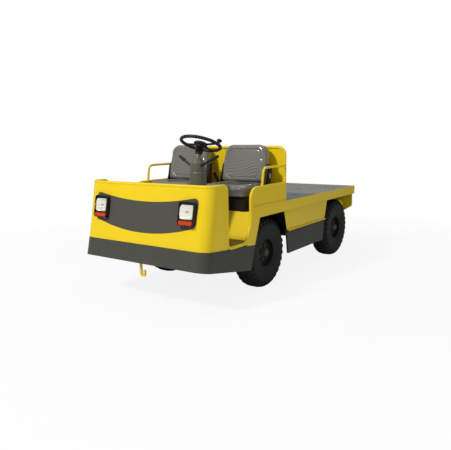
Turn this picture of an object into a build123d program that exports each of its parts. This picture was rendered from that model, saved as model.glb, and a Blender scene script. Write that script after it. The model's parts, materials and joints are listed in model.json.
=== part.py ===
from build123d import *
import os
from math import cos, hypot, radians, sin, tan

os.makedirs("parts", exist_ok=True)

# An open two-seat airport tug with a flat load deck, in millimetres. The nose points
# to -Y, the vehicle's own left side to +X, and the wheels stand on Z = 0. Most lengths
# along Y are given from an axle: ahead of it, behind it, or as (y, z) pairs. Heights of
# the body are given from the deck's surface, as a rise above it or a drop below it.

# Overall sizes
overall_length = 2704
body_width = 1250
front_overhang = 929
rear_overhang = 365
deck_height = 706
deck_over_tyre = 116
floor_drop = 256
floor_sheet = 8

# Wheels and steering
tyre_width = 175
tyre_inset = 46
lug_depth = 14
lug_count = 30
rim_seat_radius = 127.0
rim_flange_radius = 144.0
rim_wall = 8.0
kingpin_inset = 71.5
kingpin_radius = 14.0
steering_arm = 85
turning_gap = 0.3
thrust_gap = 1.0

# Sheet, tubes and seats between pieces
panel_wall = 16
trim_diameter = 26
bumper_wall = 20
seat_gap = 0.3

# Raked front
cowl_rise = 212
cowl_setback = 117
boundary_drop = 239
boundary_setback = 32
boundary_rear_drop = 291
bumper_front_drop = 377
bumper_rear_drop = 482
corner_radius = 90

# Doorway between the cowl and the seats
door_front_ahead = 620
door_rear_ahead = 328
door_sill_drop = 248
quarter_rise = 162

# Wheel arches and the panels between them, each as the Y of an edge from its own axle
rail_depth = 84
front_arch_ahead = 193
front_arch_spread = 270
bumper_end_ahead = 335
front_arch_behind = 215
panel_start_behind = 270
skirt_start_behind = 300
rear_arch_ahead = 317
panel_end_ahead = 375
skirt_end_ahead = 404
panel_foot_drop = 267
skirt_foot_drop = 470
panel_recess = 12

# Deck and backrest
rail_width = 40
rail_wall = 6
plate_thick = 10
tail_beam = 40
backrest_behind = 220
backrest_rise = 462
backrest_tube = 28
backrest_corner = 60
armrest_rise = 307
armrest_tube = 20

# Seats
seat_middle_gap = 162
seat_side_gap = 79
cushion_rise = 159
cushion_thick = 90
cushion_front_ahead = 275
cushion_rear_behind = 100
seat_back_rise = 486
seat_back_thick = 85
seat_back_lean = 11
pedestal_drop = 46

# Chassis under the floor
frame_rail_inset = 276.5
frame_rail_width = 50
frame_rail_wall = 8
frame_over_hub = 50
spring_width = 50
spring_leaf = 9
spring_reach = 270
spring_under_hub = 47

# Steering position, over the left-hand footwell
steering_inboard = 48
steering_wheel_diameter = 330
steering_rim_tube = 26
steering_lean = 22
steering_rise = 491
steering_ahead = 458

# Places worked out from the sizes above
half_width = body_width / 2
nose_y = -overall_length / 2
tail_y = overall_length / 2
front_axle = nose_y + front_overhang
rear_axle = tail_y - rear_overhang
tyre_diameter = deck_height - deck_over_tyre
tyre_radius = tyre_diameter / 2
hub_height = tyre_radius
tyre_centre = half_width - tyre_inset - tyre_width / 2
kingpin_x = tyre_centre - kingpin_inset
floor_height = deck_height - floor_drop
arch_top = deck_height - rail_depth
panel_foot = deck_height - panel_foot_drop
skirt_foot = deck_height - skirt_foot_drop
pedestal_height = deck_height - pedestal_drop
cushion_height = deck_height + cushion_rise
backrest_top = deck_height + backrest_rise
trim_radius = trim_diameter / 2
panel_inset = trim_radius - panel_wall / 2
panel_outer = half_width - panel_inset
panel_inner = panel_outer - panel_wall
trim_x = half_width - trim_radius
cowl_height = deck_height + cowl_rise
boundary_height = deck_height - boundary_drop
boundary_rear_height = deck_height - boundary_rear_drop
bumper_front_height = deck_height - bumper_front_drop
bumper_rear_height = deck_height - bumper_rear_drop
cowl_rake = (cowl_setback - boundary_setback) / (cowl_height - boundary_height)
bumper_rake = boundary_setback / (boundary_height - bumper_front_height)
lip_z = cowl_height - trim_radius
lip_y = nose_y + cowl_setback - cowl_rake * trim_radius + trim_radius
rail_inner = half_width - rail_width
frame_rail_x = tyre_centre - frame_rail_inset
frame_rail_foot = hub_height + frame_over_hub
frame_rail_head = floor_height - floor_sheet
frame_rail_outer = frame_rail_x + frame_rail_width / 2
frame_rail_inner = frame_rail_x - frame_rail_width / 2
sill_z = deck_height - door_sill_drop - trim_radius
post_y = front_axle - door_front_ahead - trim_radius
pillar_y = front_axle - door_rear_ahead + trim_radius
quarter_z = deck_height + quarter_rise - trim_radius
backrest_y = front_axle + backrest_behind
apron_y = tail_y - 60


def finish(piece, name):
    piece.part.label = name
    export_step(piece.part, f"parts/{name}.step")


def mirrored(piece):
    with BuildPart() as other:
        mirror(piece.part, about=Plane.YZ)
    return other


def both_sides(piece):
    """A left-hand piece and its mirror image as one node of two solids."""
    with BuildPart() as pair:
        add(piece.part)
        mirror(piece.part, about=Plane.YZ)
    return pair


def from_axle(points, axle=front_axle):
    """Move (y, z) pairs given from an axle into the vehicle's frame."""
    return [(axle + y, z) for y, z in points]


def side_profile(start_x, thick, points, mode=Mode.ADD):
    """Extrude a closed (y, z) outline along X."""
    with BuildSketch(Plane.YZ.offset(start_x)) as outline:
        with BuildLine():
            Polyline(*points, close=True)
        make_face()
    extrude(outline.sketch, amount=thick, mode=mode)


def block(low, high, mode=Mode.ADD):
    """A box between two opposite corners."""
    size = [b - a for a, b in zip(low, high)]
    middle = [(a + b) / 2 for a, b in zip(low, high)]
    with Locations(tuple(middle)):
        Box(*size, mode=mode)


def rod(start, end, radius, mode=Mode.ADD):
    """A straight round bar between two points."""
    along = Vector(*end) - Vector(*start)
    with BuildSketch(Plane(origin=start, z_dir=along)) as disc:
        Circle(radius)
    extrude(disc.sketch, amount=along.length, mode=mode)


def bent_tube(points, radii, radius):
    """A round tube along straight runs joined by tangent bends."""
    with BuildLine() as route:
        FilletPolyline(*points, radius=radii)
    with BuildSketch(Plane(origin=route.line @ 0, z_dir=route.line % 0)) as disc:
        Circle(radius)
    sweep(disc.sketch, path=route.line)


def wheel_section(centre_x, axle_y):
    """The plane through the wheel's axle, with x across the tyre and y along a radius."""
    return Plane(origin=(centre_x, axle_y, hub_height), x_dir=(1, 0, 0), z_dir=(0, -1, 0))


def raked_block(foot_z, head_z, front_at_foot, rake, back_y, inset, mode=Mode.ADD):
    """A block with rounded front corners whose front leans back as it rises."""
    depth = back_y - front_at_foot - inset
    with BuildSketch(Plane.XY.offset(foot_z)) as plan:
        with Locations((0, front_at_foot + inset + depth / 2)):
            Rectangle(2 * (half_width - inset), depth)
        fillet(plan.vertices().group_by(Axis.Y)[0], radius=corner_radius - inset)
    extrude(plan.sketch, amount=(head_z - foot_z) * hypot(1, rake), dir=(0, rake, 1), mode=mode)


# Front: raked cowl, its rolled lip and door posts, and the bumper skirt below

side_span = body_width + 40
boundary_bend_y = nose_y + boundary_setback
boundary_end_y = front_axle - front_arch_spread
boundary_line = [
    (nose_y - 60, boundary_height),
    (boundary_bend_y, boundary_height),
    (boundary_end_y, boundary_rear_height),
]
sill_split_y = front_axle - (door_front_ahead + door_rear_ahead) / 2
cowl_foot = boundary_rear_height - 30

with BuildPart() as front_trim:
    bent_tube(
        [
            (0, lip_y, lip_z),
            (trim_x, lip_y, lip_z),
            (trim_x, post_y, lip_z),
            (trim_x, post_y, sill_z),
            (trim_x, sill_split_y, sill_z),
        ],
        [corner_radius - trim_radius, 40, 45],
        trim_radius,
    )
    mirror(about=Plane.YZ)

cowl_front_at_foot = nose_y + boundary_setback - cowl_rake * (boundary_height - cowl_foot)
with BuildPart() as front_cowl:
    for inset, mode in ((panel_inset, Mode.ADD), (panel_inset + panel_wall, Mode.SUBTRACT)):
        raked_block(cowl_foot, lip_z, cowl_front_at_foot, cowl_rake, front_axle, inset, mode)
    block(
        (-side_span, post_y, cowl_foot - 10),
        (side_span, front_axle + 400, cowl_height + 10),
        Mode.SUBTRACT,
    )
    side_profile(
        -side_span / 2,
        side_span,
        boundary_line
        + [(boundary_end_y, cowl_foot - 20), (nose_y - 60, cowl_foot - 20)],
        Mode.SUBTRACT,
    )
    add(front_trim.part)

# The dark mask is a sheet let into the raked front face
mask_sheet = 6
mask_pocket = 5
mask_gap = 0.3
mask_lean = cowl_rake / hypot(1, cowl_rake)
mask_up = 1 / hypot(1, cowl_rake)
mask_centre_z = boundary_height + 233
mask_face_y = nose_y + boundary_setback + cowl_rake * (mask_centre_z - boundary_height) + panel_inset
mask_plane = Plane(
    origin=(0, mask_face_y, mask_centre_z), x_dir=(1, 0, 0), z_dir=(0, -mask_up, mask_lean)
)
mask_top_half = half_width - 103
mask_foot_half = half_width - 120
mask_top_corner = 140
mask_top_middle = 83
mask_foot_corner = -75
mask_foot_middle = -152


def mask_outline(shrink):
    with BuildSketch(mask_plane) as outline:
        with BuildLine():
            ThreePointArc(
                (-mask_top_half, mask_top_corner), (0, mask_top_middle), (mask_top_half, mask_top_corner)
            )
            Line((mask_top_half, mask_top_corner), (mask_foot_half, mask_foot_corner))
            ThreePointArc(
                (mask_foot_half, mask_foot_corner),
                (0, mask_foot_middle),
                (-mask_foot_half, mask_foot_corner),
            )
            Line((-mask_foot_half, mask_foot_corner), (-mask_top_half, mask_top_corner))
        make_face()
        fillet(outline.vertices(), radius=38)
        if shrink:
            offset(amount=-shrink, mode=Mode.REPLACE)
    return outline.sketch


with front_cowl:
    extrude(mask_outline(0), amount=-mask_pocket, mode=Mode.SUBTRACT)
finish(front_cowl, "front_cowl")

with BuildPart() as front_mask:
    for depth in (-mask_pocket, mask_sheet - mask_pocket):
        extrude(mask_outline(mask_gap), amount=depth)
finish(front_mask, "front_mask")

# Lamps: a housing on the mask, a clear lens in its mouth and a reflector under it
lamp_x = mask_top_half - 88
lamp_mid = 18
lamp_depth = 22
housing_width = 140
housing_height = 172
lens_width = 124
lens_height = 102
lens_rise = 12
reflector_height = 30
reflector_rise = -66
lamp_recess = 12
mask_proud = mask_sheet - mask_pocket
lamp_spots = [(-lamp_x, lamp_mid), (lamp_x, lamp_mid)]
lamp_windows = [
    # width, height, rise from the middle, corner radius
    (lens_width, lens_height, lens_rise, 18),
    (lens_width, reflector_height, reflector_rise, 10),
]
lamp_base = mask_plane.offset(mask_proud)

with BuildPart() as headlamp_housings:
    with BuildSketch(lamp_base):
        with Locations(*lamp_spots):
            RectangleRounded(housing_width, housing_height, 20)
    extrude(amount=lamp_depth)
    for width, height, rise, corner in lamp_windows:
        with BuildSketch(lamp_base.offset(lamp_depth)):
            with Locations(*[(x, y + rise) for x, y in lamp_spots]):
                RectangleRounded(width, height, corner)
        extrude(amount=-lamp_recess, mode=Mode.SUBTRACT)
finish(headlamp_housings, "headlamp_housings")

for name, window in zip(("headlamp_lenses", "front_reflectors"), lamp_windows):
    width, height, rise, corner = window
    with BuildPart() as cover:
        with BuildSketch(lamp_base.offset(lamp_depth - lamp_recess)):
            with Locations(*[(x, y + rise) for x, y in lamp_spots]):
                RectangleRounded(width - 2 * seat_gap, height - 2 * seat_gap, corner)
        extrude(amount=lamp_recess + 2)
        fillet(cover.faces().group_by(Axis((0, 0, 0), mask_plane.z_dir))[-1].edges(), radius=1.5)
    finish(cover, name)

bumper_foot = bumper_rear_height - 20
bumper_front_at_foot = nose_y - bumper_rake * (bumper_front_height - bumper_foot)
bumper_inset = 2
bumper_end_y = front_axle - bumper_end_ahead
with BuildPart() as bumper_skirt:
    for inset, mode in ((bumper_inset, Mode.ADD), (bumper_inset + bumper_wall, Mode.SUBTRACT)):
        raked_block(
            bumper_foot, boundary_height, bumper_front_at_foot, bumper_rake, front_axle, inset, mode
        )
    side_profile(
        -side_span / 2,
        side_span,
        [
            (bumper_end_y, bumper_rear_height),
            (bumper_end_y - 10, bumper_foot - 10),
            (front_axle + 200, bumper_foot - 10),
            (front_axle + 200, boundary_height + 10),
            (boundary_end_y, boundary_height + 10),
            (boundary_end_y, boundary_rear_height),
        ],
        Mode.SUBTRACT,
    )
    side_profile(
        -side_span / 2,
        side_span,
        [
            (nose_y - 90, bumper_foot - 20),
            (nose_y - 90, bumper_front_height),
            (nose_y, bumper_front_height),
            (bumper_end_y, bumper_rear_height),
            (bumper_end_y, bumper_foot - 20),
        ],
        Mode.SUBTRACT,
    )
    side_profile(
        -side_span / 2,
        side_span,
        boundary_line[1:] + [(boundary_end_y, boundary_height + 20), (boundary_bend_y, boundary_height + 20)],
        Mode.SUBTRACT,
    )

# Quarter panels: pillar, panel beside the seat and the rolled edge round the doorway

lower_pillar_ahead = 385
pillar_bend_z = sill_z + 155
with BuildPart() as quarter_trim:
    bent_tube(
        [
            (trim_x, sill_split_y, sill_z),
            (trim_x, front_axle - lower_pillar_ahead, sill_z),
            (trim_x, pillar_y, pillar_bend_z),
            (trim_x, pillar_y, quarter_z),
            (trim_x, backrest_y - backrest_tube / 2, quarter_z),
        ],
        [50, 200, 80],
        trim_radius,
    )

with bumper_skirt:
    add(front_trim.part, mode=Mode.SUBTRACT)
    add(quarter_trim.part, mode=Mode.SUBTRACT)
    mirror(quarter_trim.part, about=Plane.YZ, mode=Mode.SUBTRACT)
finish(bumper_skirt, "bumper_skirt")

quarter_front_y = pillar_y + 45
boundary_slope = (boundary_height - boundary_rear_height) / (boundary_end_y - boundary_bend_y)


def boundary_at(y):
    return boundary_rear_height + boundary_slope * (boundary_end_y - y)


rail_front_y = front_axle - front_arch_ahead - 65
lower_pillar_y = front_axle - lower_pillar_ahead
with BuildPart() as quarter_panel:
    with BuildSketch(Plane.YZ.offset(panel_inner)):
        with BuildLine():
            FilletPolyline(
                (lower_pillar_y, sill_z),
                (pillar_y, pillar_bend_z),
                (pillar_y, quarter_z),
                (backrest_y - backrest_tube / 2, quarter_z),
                radius=[200, 80],
            )
            Polyline(
                (backrest_y - backrest_tube / 2, quarter_z),
                (backrest_y - backrest_tube / 2, deck_height),
                (rail_front_y, deck_height),
                (rail_front_y, arch_top),
                (front_axle - front_arch_ahead, arch_top),
                (boundary_end_y, boundary_rear_height),
                (lower_pillar_y, boundary_at(lower_pillar_y)),
                (lower_pillar_y, sill_z),
            )
        make_face()
    extrude(amount=panel_wall)
    add(quarter_trim.part)
finish(both_sides(quarter_panel), "quarter_panels")

# Cab: floor, hollow pedestal over the front wheels, seats and brackets

cab_side = panel_inner - seat_gap
floor_side = half_width - trim_diameter - seat_gap
floor_front_y = nose_y + boundary_setback + bumper_wall + 30
pedestal_foot_ahead = 325
pedestal_head_ahead = 235
pedestal_wall = 12
with BuildPart() as cab_floor:
    block(
        (-floor_side, floor_front_y, floor_height - floor_sheet),
        (floor_side, front_axle - pedestal_foot_ahead, floor_height),
    )
    fillet(cab_floor.edges().filter_by(Axis.Z).group_by(Axis.Y)[0], radius=corner_radius - bumper_wall)
finish(cab_floor, "cab_floor")

with BuildPart() as seat_box:
    outer = [
        (-pedestal_foot_ahead, floor_height - floor_sheet),
        (-pedestal_head_ahead, pedestal_height),
        (pedestal_head_ahead - 30, pedestal_height),
        (pedestal_foot_ahead, floor_height - floor_sheet),
    ]
    hollow = [
        (-pedestal_foot_ahead + pedestal_wall, floor_height - floor_sheet - 1),
        (-pedestal_head_ahead + pedestal_wall / 2, pedestal_height - pedestal_wall),
        (pedestal_head_ahead - 30 - pedestal_wall / 2, pedestal_height - pedestal_wall),
        (pedestal_foot_ahead - pedestal_wall, floor_height - floor_sheet - 1),
    ]
    side_profile(-cab_side, 2 * cab_side, from_axle(outer))
    side_profile(-cab_side - 1, 2 * cab_side + 2, from_axle(hollow), Mode.SUBTRACT)
    for side in (-1, 1):
        inner_wall_x = side * (frame_rail_outer + 14) - pedestal_wall / 2
        side_profile(inner_wall_x, pedestal_wall, from_axle(outer))
        ends = sorted((side * (rail_inner - seat_gap), side * half_width))
        block(
            (ends[0], front_axle - pedestal_foot_ahead, arch_top - seat_gap),
            (ends[1], front_axle + pedestal_foot_ahead, pedestal_height + 1),
            Mode.SUBTRACT,
        )
        ends = sorted((side * (panel_inner - panel_recess - seat_gap), side * half_width))
        block(
            (ends[0], front_axle + front_arch_behind - 6, frame_rail_head - 1),
            (ends[1], front_axle + pedestal_foot_ahead + 1, pedestal_height + 1),
            Mode.SUBTRACT,
        )
finish(seat_box, "seat_box")

seat_width = panel_inner - seat_side_gap - seat_middle_gap / 2
seat_base_width = seat_width - 50
seat_base_rear = 90
cushion_foot = cushion_height - cushion_thick
seat_back_foot = cushion_height + 15
seat_back_front = 28
seat_x = (seat_middle_gap + seat_width) / 2

with BuildPart() as seat_base:
    block(
        (seat_x - seat_base_width / 2, front_axle - pedestal_head_ahead + 6, pedestal_height),
        (seat_x + seat_base_width / 2, front_axle + seat_base_rear, cushion_foot - seat_gap),
    )
    fillet(seat_base.edges().filter_by(Axis.Z), radius=15)
finish(both_sides(seat_base), "seat_bases")

with BuildPart() as seat_cushion:
    block(
        (seat_x - seat_width / 2, front_axle - cushion_front_ahead, cushion_foot),
        (seat_x + seat_width / 2, front_axle + cushion_rear_behind, cushion_height),
    )
    fillet(seat_cushion.edges().filter_by(Axis.Z).group_by(Axis.Y)[0], radius=60)
    fillet(seat_cushion.faces().sort_by(Axis.Z)[-1].edges(), radius=36)
finish(both_sides(seat_cushion), "seat_cushions")

back_plane = Plane(
    origin=(seat_x, front_axle + seat_back_front, seat_back_foot),
    x_dir=(1, 0, 0),
    z_dir=(0, -cos(radians(seat_back_lean)), sin(radians(seat_back_lean))),
)
back_height = (deck_height + seat_back_rise - seat_back_foot) / cos(radians(seat_back_lean))
back_straight = 150
back_taper = 20
back_half = seat_width / 2
with BuildPart() as seat_back:
    with BuildSketch(back_plane) as outline:
        with BuildLine():
            Polyline(
                (-back_half, 0),
                (-back_half, back_straight),
                (-back_half + back_taper, back_height),
                (back_half - back_taper, back_height),
                (back_half, back_straight),
                (back_half, 0),
                close=True,
            )
        make_face()
        fillet(outline.vertices().group_by(Axis.Y)[-1], radius=80)
        fillet(outline.vertices().group_by(Axis.Y)[0], radius=25)
    extrude(amount=-seat_back_thick)
    fillet(seat_back.faces().sort_by(Axis.Y)[0].edges(), radius=22)
finish(both_sides(seat_back), "seat_backs")

bracket_thick = 10
bracket_width = 36
bracket_head = cushion_height + 155
with BuildPart() as seat_brackets:
    for sign in (-1, 1):
        for edge in (-1, 1):
            near = sign * seat_x + edge * (seat_width / 2 + seat_gap)
            far = near + edge * bracket_thick
            side_profile(
                min(near, far),
                bracket_thick,
                from_axle(
                    [
                        (30, pedestal_height),
                        (30, cushion_height),
                        (85, bracket_head),
                        (85 + bracket_width, bracket_head),
                        (70 + bracket_width, cushion_height),
                        (70 + bracket_width, pedestal_height),
                    ]
                ),
            )
finish(seat_brackets, "seat_brackets")

with BuildPart() as hand_brake:
    block(
        (-22, front_axle - 60, pedestal_height),
        (22, front_axle + 60, pedestal_height + 90),
    )
    rod(
        (0, front_axle, pedestal_height + 60),
        (0, front_axle - 70, pedestal_height + 250),
        8,
    )
    rod(
        (0, front_axle - 70, pedestal_height + 250),
        (0, front_axle - 100, pedestal_height + 335),
        14,
    )
finish(hand_brake, "hand_brake")

# Backrest: an inverted tube hoop with a sheet panel in it, and the armrests

hoop_radius = backrest_tube / 2
hoop_x = half_width - hoop_radius - 2
hoop_z = backrest_top - hoop_radius
backrest_sheet = 8
with BuildPart() as backrest_frame:
    bent_tube(
        [
            (-hoop_x, backrest_y, deck_height),
            (-hoop_x, backrest_y, hoop_z),
            (hoop_x, backrest_y, hoop_z),
            (hoop_x, backrest_y, deck_height),
        ],
        [backrest_corner] * 2,
        hoop_radius,
    )
finish(backrest_frame, "backrest_frame")

with BuildPart() as backrest_panel:
    with BuildSketch(Plane.XZ.offset(-backrest_y - backrest_sheet / 2)) as sheet:
        with Locations((0, (deck_height + backrest_top) / 2)):
            Rectangle(2 * hoop_x, backrest_top - deck_height - backrest_tube)
        fillet(sheet.vertices().group_by(Axis.Y)[-1], radius=backrest_corner)
    extrude(amount=backrest_sheet)
    add(backrest_frame.part, mode=Mode.SUBTRACT)
finish(backrest_panel, "backrest_panel")

armrest_z = deck_height + armrest_rise - armrest_tube / 2
armrest_front_y = front_axle - 140
with BuildPart() as armrest:
    bent_tube(
        [
            (trim_x, armrest_front_y - 10, quarter_z),
            (trim_x, armrest_front_y + 15, armrest_z),
            (trim_x, backrest_y, armrest_z),
        ],
        [48],
        armrest_tube / 2,
    )
    add(quarter_trim.part, mode=Mode.SUBTRACT)
    add(backrest_frame.part, mode=Mode.SUBTRACT)
finish(both_sides(armrest), "armrests")

# Steering console, column, wheel and controls

steering_x = seat_x - steering_inboard
steer_up = Vector(0, sin(radians(steering_lean)), cos(radians(steering_lean)))
wheel_middle = Vector(steering_x, front_axle - steering_ahead, deck_height + steering_rise)


def on_column(distance):
    """A point on the steering axis, this far below the wheel's plane."""
    return wheel_middle - steer_up * distance


console_width = 120
console_front_ahead = 562
console_rear_ahead = 440
console_rise = 284
shroud_ahead = 503
shroud_profile = [
    # radius, height above the console's head
    (0, -20),
    (57, -20),
    (57, 62),
    (50, 72),
    (24, 112),
    (0, 112),
]
column_radius = 18
hub_drop = 29
with BuildPart() as steering_console:
    block(
        (steering_x - console_width / 2, front_axle - console_front_ahead, floor_height),
        (steering_x + console_width / 2, front_axle - console_rear_ahead, deck_height + console_rise),
    )
    fillet(steering_console.edges().filter_by(Axis.Z), radius=50)
    fillet(steering_console.faces().sort_by(Axis.Z)[-1].edges(), radius=14)
    shroud_foot = Vector(steering_x, front_axle - shroud_ahead, deck_height + console_rise)
    with BuildSketch(Plane(origin=shroud_foot, x_dir=(1, 0, 0), z_dir=(0, -1, 0))) as shroud:
        with BuildLine():
            Polyline(*shroud_profile, close=True)
        make_face()
    revolve(shroud.sketch, axis=Axis(shroud_foot, (0, 0, 1)))
    rod(on_column(125), on_column(30), column_radius)
finish(steering_console, "steering_console")

wheel_plane = Plane(origin=wheel_middle, x_dir=(1, 0, 0), z_dir=steer_up)
rim_mid_radius = (steering_wheel_diameter - steering_rim_tube) / 2
spoke_count = 3
spoke_width = 28
hub_pad_radius = 54
knob_radius = 14
knob_angle = 10
with BuildPart() as steering_wheel:
    with BuildSketch(Plane(origin=wheel_middle, x_dir=(1, 0, 0), z_dir=wheel_plane.y_dir)):
        with Locations((rim_mid_radius, 0)):
            Circle(steering_rim_tube / 2)
    revolve(axis=Axis(wheel_middle, steer_up))
    with BuildSketch(wheel_plane.offset(-hub_drop)):
        Circle(30)
    extrude(amount=hub_drop)
    with BuildSketch(wheel_plane.offset(-12)):
        Circle(hub_pad_radius)
        with PolarLocations(0, spoke_count, angular_range=180, endpoint=True):
            with Locations((rim_mid_radius / 2, 0)):
                Rectangle(rim_mid_radius, spoke_width)
    extrude(amount=14)
    knob_across = rim_mid_radius * cos(radians(knob_angle))
    knob_along = rim_mid_radius * sin(radians(knob_angle))
    with BuildSketch(wheel_plane):
        with Locations((knob_across, knob_along)):
            Circle(knob_radius)
    extrude(amount=steering_rim_tube / 2 + 25)
    circles = steering_wheel.edges().filter_by(GeomType.CIRCLE)
    fillet(circles.sort_by(Axis(wheel_middle, steer_up))[-1], radius=5)
finish(steering_wheel, "steering_wheel")

stalk_radius = 9
stalk_drop = 178
stalk_rise = 75
stalk_reach = {-1: 114, 1: 167}
with BuildPart() as column_stalks:
    for side, reach in stalk_reach.items():
        start = on_column(stalk_drop) + Vector(side * 45, 0, 0)
        rod(start, start + Vector(side * reach, 0, stalk_rise), stalk_radius)
    add(steering_console.part, mode=Mode.SUBTRACT)
finish(column_stalks, "column_stalks")

pedal_inset = 55
pedal_ahead = 705
pedal_rise = 80
pedal_sizes = [
    # side of the console, width, height of the pad
    (-1, 70, 55),
    (1, 55, 150),
]
with BuildPart() as pedals:
    pad_y = front_axle - pedal_ahead
    for side, width, height in pedal_sizes:
        x = steering_x + side * (console_width / 2 + pedal_inset)
        foot = floor_height + pedal_rise
        block((x - width / 2, pad_y, foot), (x + width / 2, pad_y + 12, foot + height))
        block((x - 8, pad_y - 25, floor_height), (x + 8, pad_y, foot + height / 2))
finish(pedals, "pedals")

# Load deck: side rails as channels, cross beams, and three steel plates

deck_rail_foot = arch_top
rail_taper = 70
plate_front_y = backrest_y + hoop_radius + 6
plate_end_y = tail_y - tail_beam
plate_span = plate_end_y - plate_front_y
deck_joints = [0, 0.415 * plate_span, 0.702 * plate_span, plate_span]
beam_width = 50
deck_cross_beams = [30] + [joint - beam_width / 2 for joint in deck_joints[1:-1]]
with BuildPart() as deck_frame:
    for side in (-1, 1):
        outer_x = side * half_width
        inner_x = side * rail_inner
        block(
            (min(outer_x, inner_x), rail_front_y, deck_rail_foot),
            (max(outer_x, inner_x), tail_y, deck_height),
        )
        pocket_outer = side * (half_width - rail_wall)
        block(
            (min(pocket_outer, inner_x), rail_front_y - 1, deck_rail_foot + rail_wall),
            (max(pocket_outer, inner_x), tail_y - tail_beam, deck_height - plate_thick - rail_wall),
            Mode.SUBTRACT,
        )
        block(
            (min(pocket_outer, inner_x), plate_front_y - 1, deck_height - plate_thick),
            (max(pocket_outer, inner_x), tail_y - tail_beam, deck_height + 1),
            Mode.SUBTRACT,
        )
    block((-rail_inner, tail_y - tail_beam, deck_rail_foot), (rail_inner, tail_y, deck_height))
    for beam in deck_cross_beams:
        beam_y = plate_front_y + beam
        block(
            (-half_width + rail_wall, beam_y, deck_rail_foot),
            (half_width - rail_wall, beam_y + beam_width, deck_height - plate_thick),
        )
    block(
        (-rail_inner, backrest_y - 24, deck_height - 40),
        (rail_inner, plate_front_y - seat_gap, deck_height),
    )
    # The rail's front end narrows to lie flush with the quarter panel
    for side in (-1, 1):
        with BuildSketch(Plane.XY.offset(deck_rail_foot - 1)) as wedge:
            with BuildLine():
                Polyline(
                    (side * panel_outer, rail_front_y - 1),
                    (side * (half_width + 1), rail_front_y - 1),
                    (side * (half_width + 1), rail_front_y + rail_taper),
                    close=True,
                )
            make_face()
        extrude(wedge.sketch, amount=rail_depth + 2, mode=Mode.SUBTRACT)
finish(deck_frame, "deck_frame")

plate_gap = 4
finger_slots = [
    # x as a share of the half width, y as a share of the plates, length along x and y
    (0.739, 0.301, 26, 90),
    (0.371, 0.5585, 92, 26),
    (0.36, 0.662, 26, 70),
    (0.688, 0.819, 26, 80),
]
plate_half = half_width - rail_wall - seat_gap
with BuildPart() as deck_plates:
    for plate_start, plate_end in zip(deck_joints, deck_joints[1:]):
        block(
            (-plate_half, plate_front_y + plate_start + plate_gap / 2, deck_height - plate_thick),
            (plate_half, plate_front_y + plate_end - plate_gap / 2, deck_height),
        )
    for across, along, long_x, long_y in finger_slots:
        slot_x = across * half_width
        slot_y = plate_front_y + along * plate_span
        with BuildSketch(Plane.XY.offset(deck_height - plate_thick)):
            with Locations((slot_x, slot_y), (-slot_x, slot_y)):
                RectangleRounded(long_x, long_y, 12)
        extrude(amount=plate_thick, mode=Mode.SUBTRACT)
finish(deck_plates, "deck_plates")

# Lower side panels, skirts, tail apron with its hitch, and tail lamps

lip_thick = 8
with BuildPart() as side_panel:
    front_top = front_axle + front_arch_behind
    front_foot = front_axle + panel_start_behind
    rear_top = rear_axle - rear_arch_ahead
    rear_foot = rear_axle - panel_end_ahead
    side_profile(
        panel_inner - panel_recess,
        panel_wall,
        [(front_top, arch_top), (front_foot, panel_foot), (rear_foot, panel_foot), (rear_top, arch_top)],
    )
    block(
        (panel_outer - panel_recess, front_foot, panel_foot),
        (half_width - 1, rear_foot, panel_foot + lip_thick),
    )
finish(both_sides(side_panel), "side_panels")

skirt_inner = panel_inner - panel_recess - 2
with BuildPart() as skirt:
    side_profile(
        skirt_inner,
        panel_wall,
        [
            (front_axle + panel_start_behind, panel_foot),
            (front_axle + skirt_start_behind, skirt_foot),
            (rear_axle - skirt_end_ahead, skirt_foot),
            (rear_axle - panel_end_ahead, panel_foot),
        ],
    )
finish(both_sides(skirt), "skirts")

apron_sheet = 12
apron_foot = arch_top - 222
apron_corner_x = panel_outer - 150
apron_corner_z = arch_top - 132
with BuildPart() as tail_apron:
    with BuildSketch(Plane.XZ.offset(-apron_y)):
        with BuildLine():
            Polyline(
                (-panel_outer, arch_top),
                (-panel_outer, apron_corner_z),
                (-apron_corner_x, apron_foot),
                (apron_corner_x, apron_foot),
                (panel_outer, apron_corner_z),
                (panel_outer, arch_top),
                close=True,
            )
        make_face()
    extrude(amount=-apron_sheet)
finish(tail_apron, "tail_apron")

hitch_z = floor_height
hitch_gap = 60
hitch_plate = 14
hitch_half = 45
hitch_bore = 16
hitch_face = apron_y + apron_sheet
hitch_pin_y = hitch_face + 24
with BuildPart() as rear_hitch:
    block(
        (-hitch_half - 15, hitch_face, hitch_z - hitch_gap / 2 - hitch_plate),
        (hitch_half + 15, hitch_face + 6, hitch_z + hitch_gap / 2 + hitch_plate),
    )
    for foot in (hitch_z - hitch_gap / 2 - hitch_plate, hitch_z + hitch_gap / 2):
        block((-hitch_half, hitch_face, foot), (hitch_half, tail_y - 1, foot + hitch_plate))
    rod(
        (0, hitch_pin_y, hitch_z - hitch_gap),
        (0, hitch_pin_y, hitch_z + hitch_gap),
        hitch_bore,
        Mode.SUBTRACT,
    )
finish(rear_hitch, "rear_hitch")

tail_lamp_x = half_width - 85
tail_lamp_z = arch_top - 62
with BuildPart() as tail_lamps:
    with BuildSketch(Plane.XZ.offset(-hitch_face)):
        with Locations((-tail_lamp_x, tail_lamp_z), (tail_lamp_x, tail_lamp_z)):
            RectangleRounded(110, 70, 12)
    extrude(amount=-22)
finish(tail_lamps, "tail_lamps")

# Chassis: channel rails, cross members, outriggers and deck uprights

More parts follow.
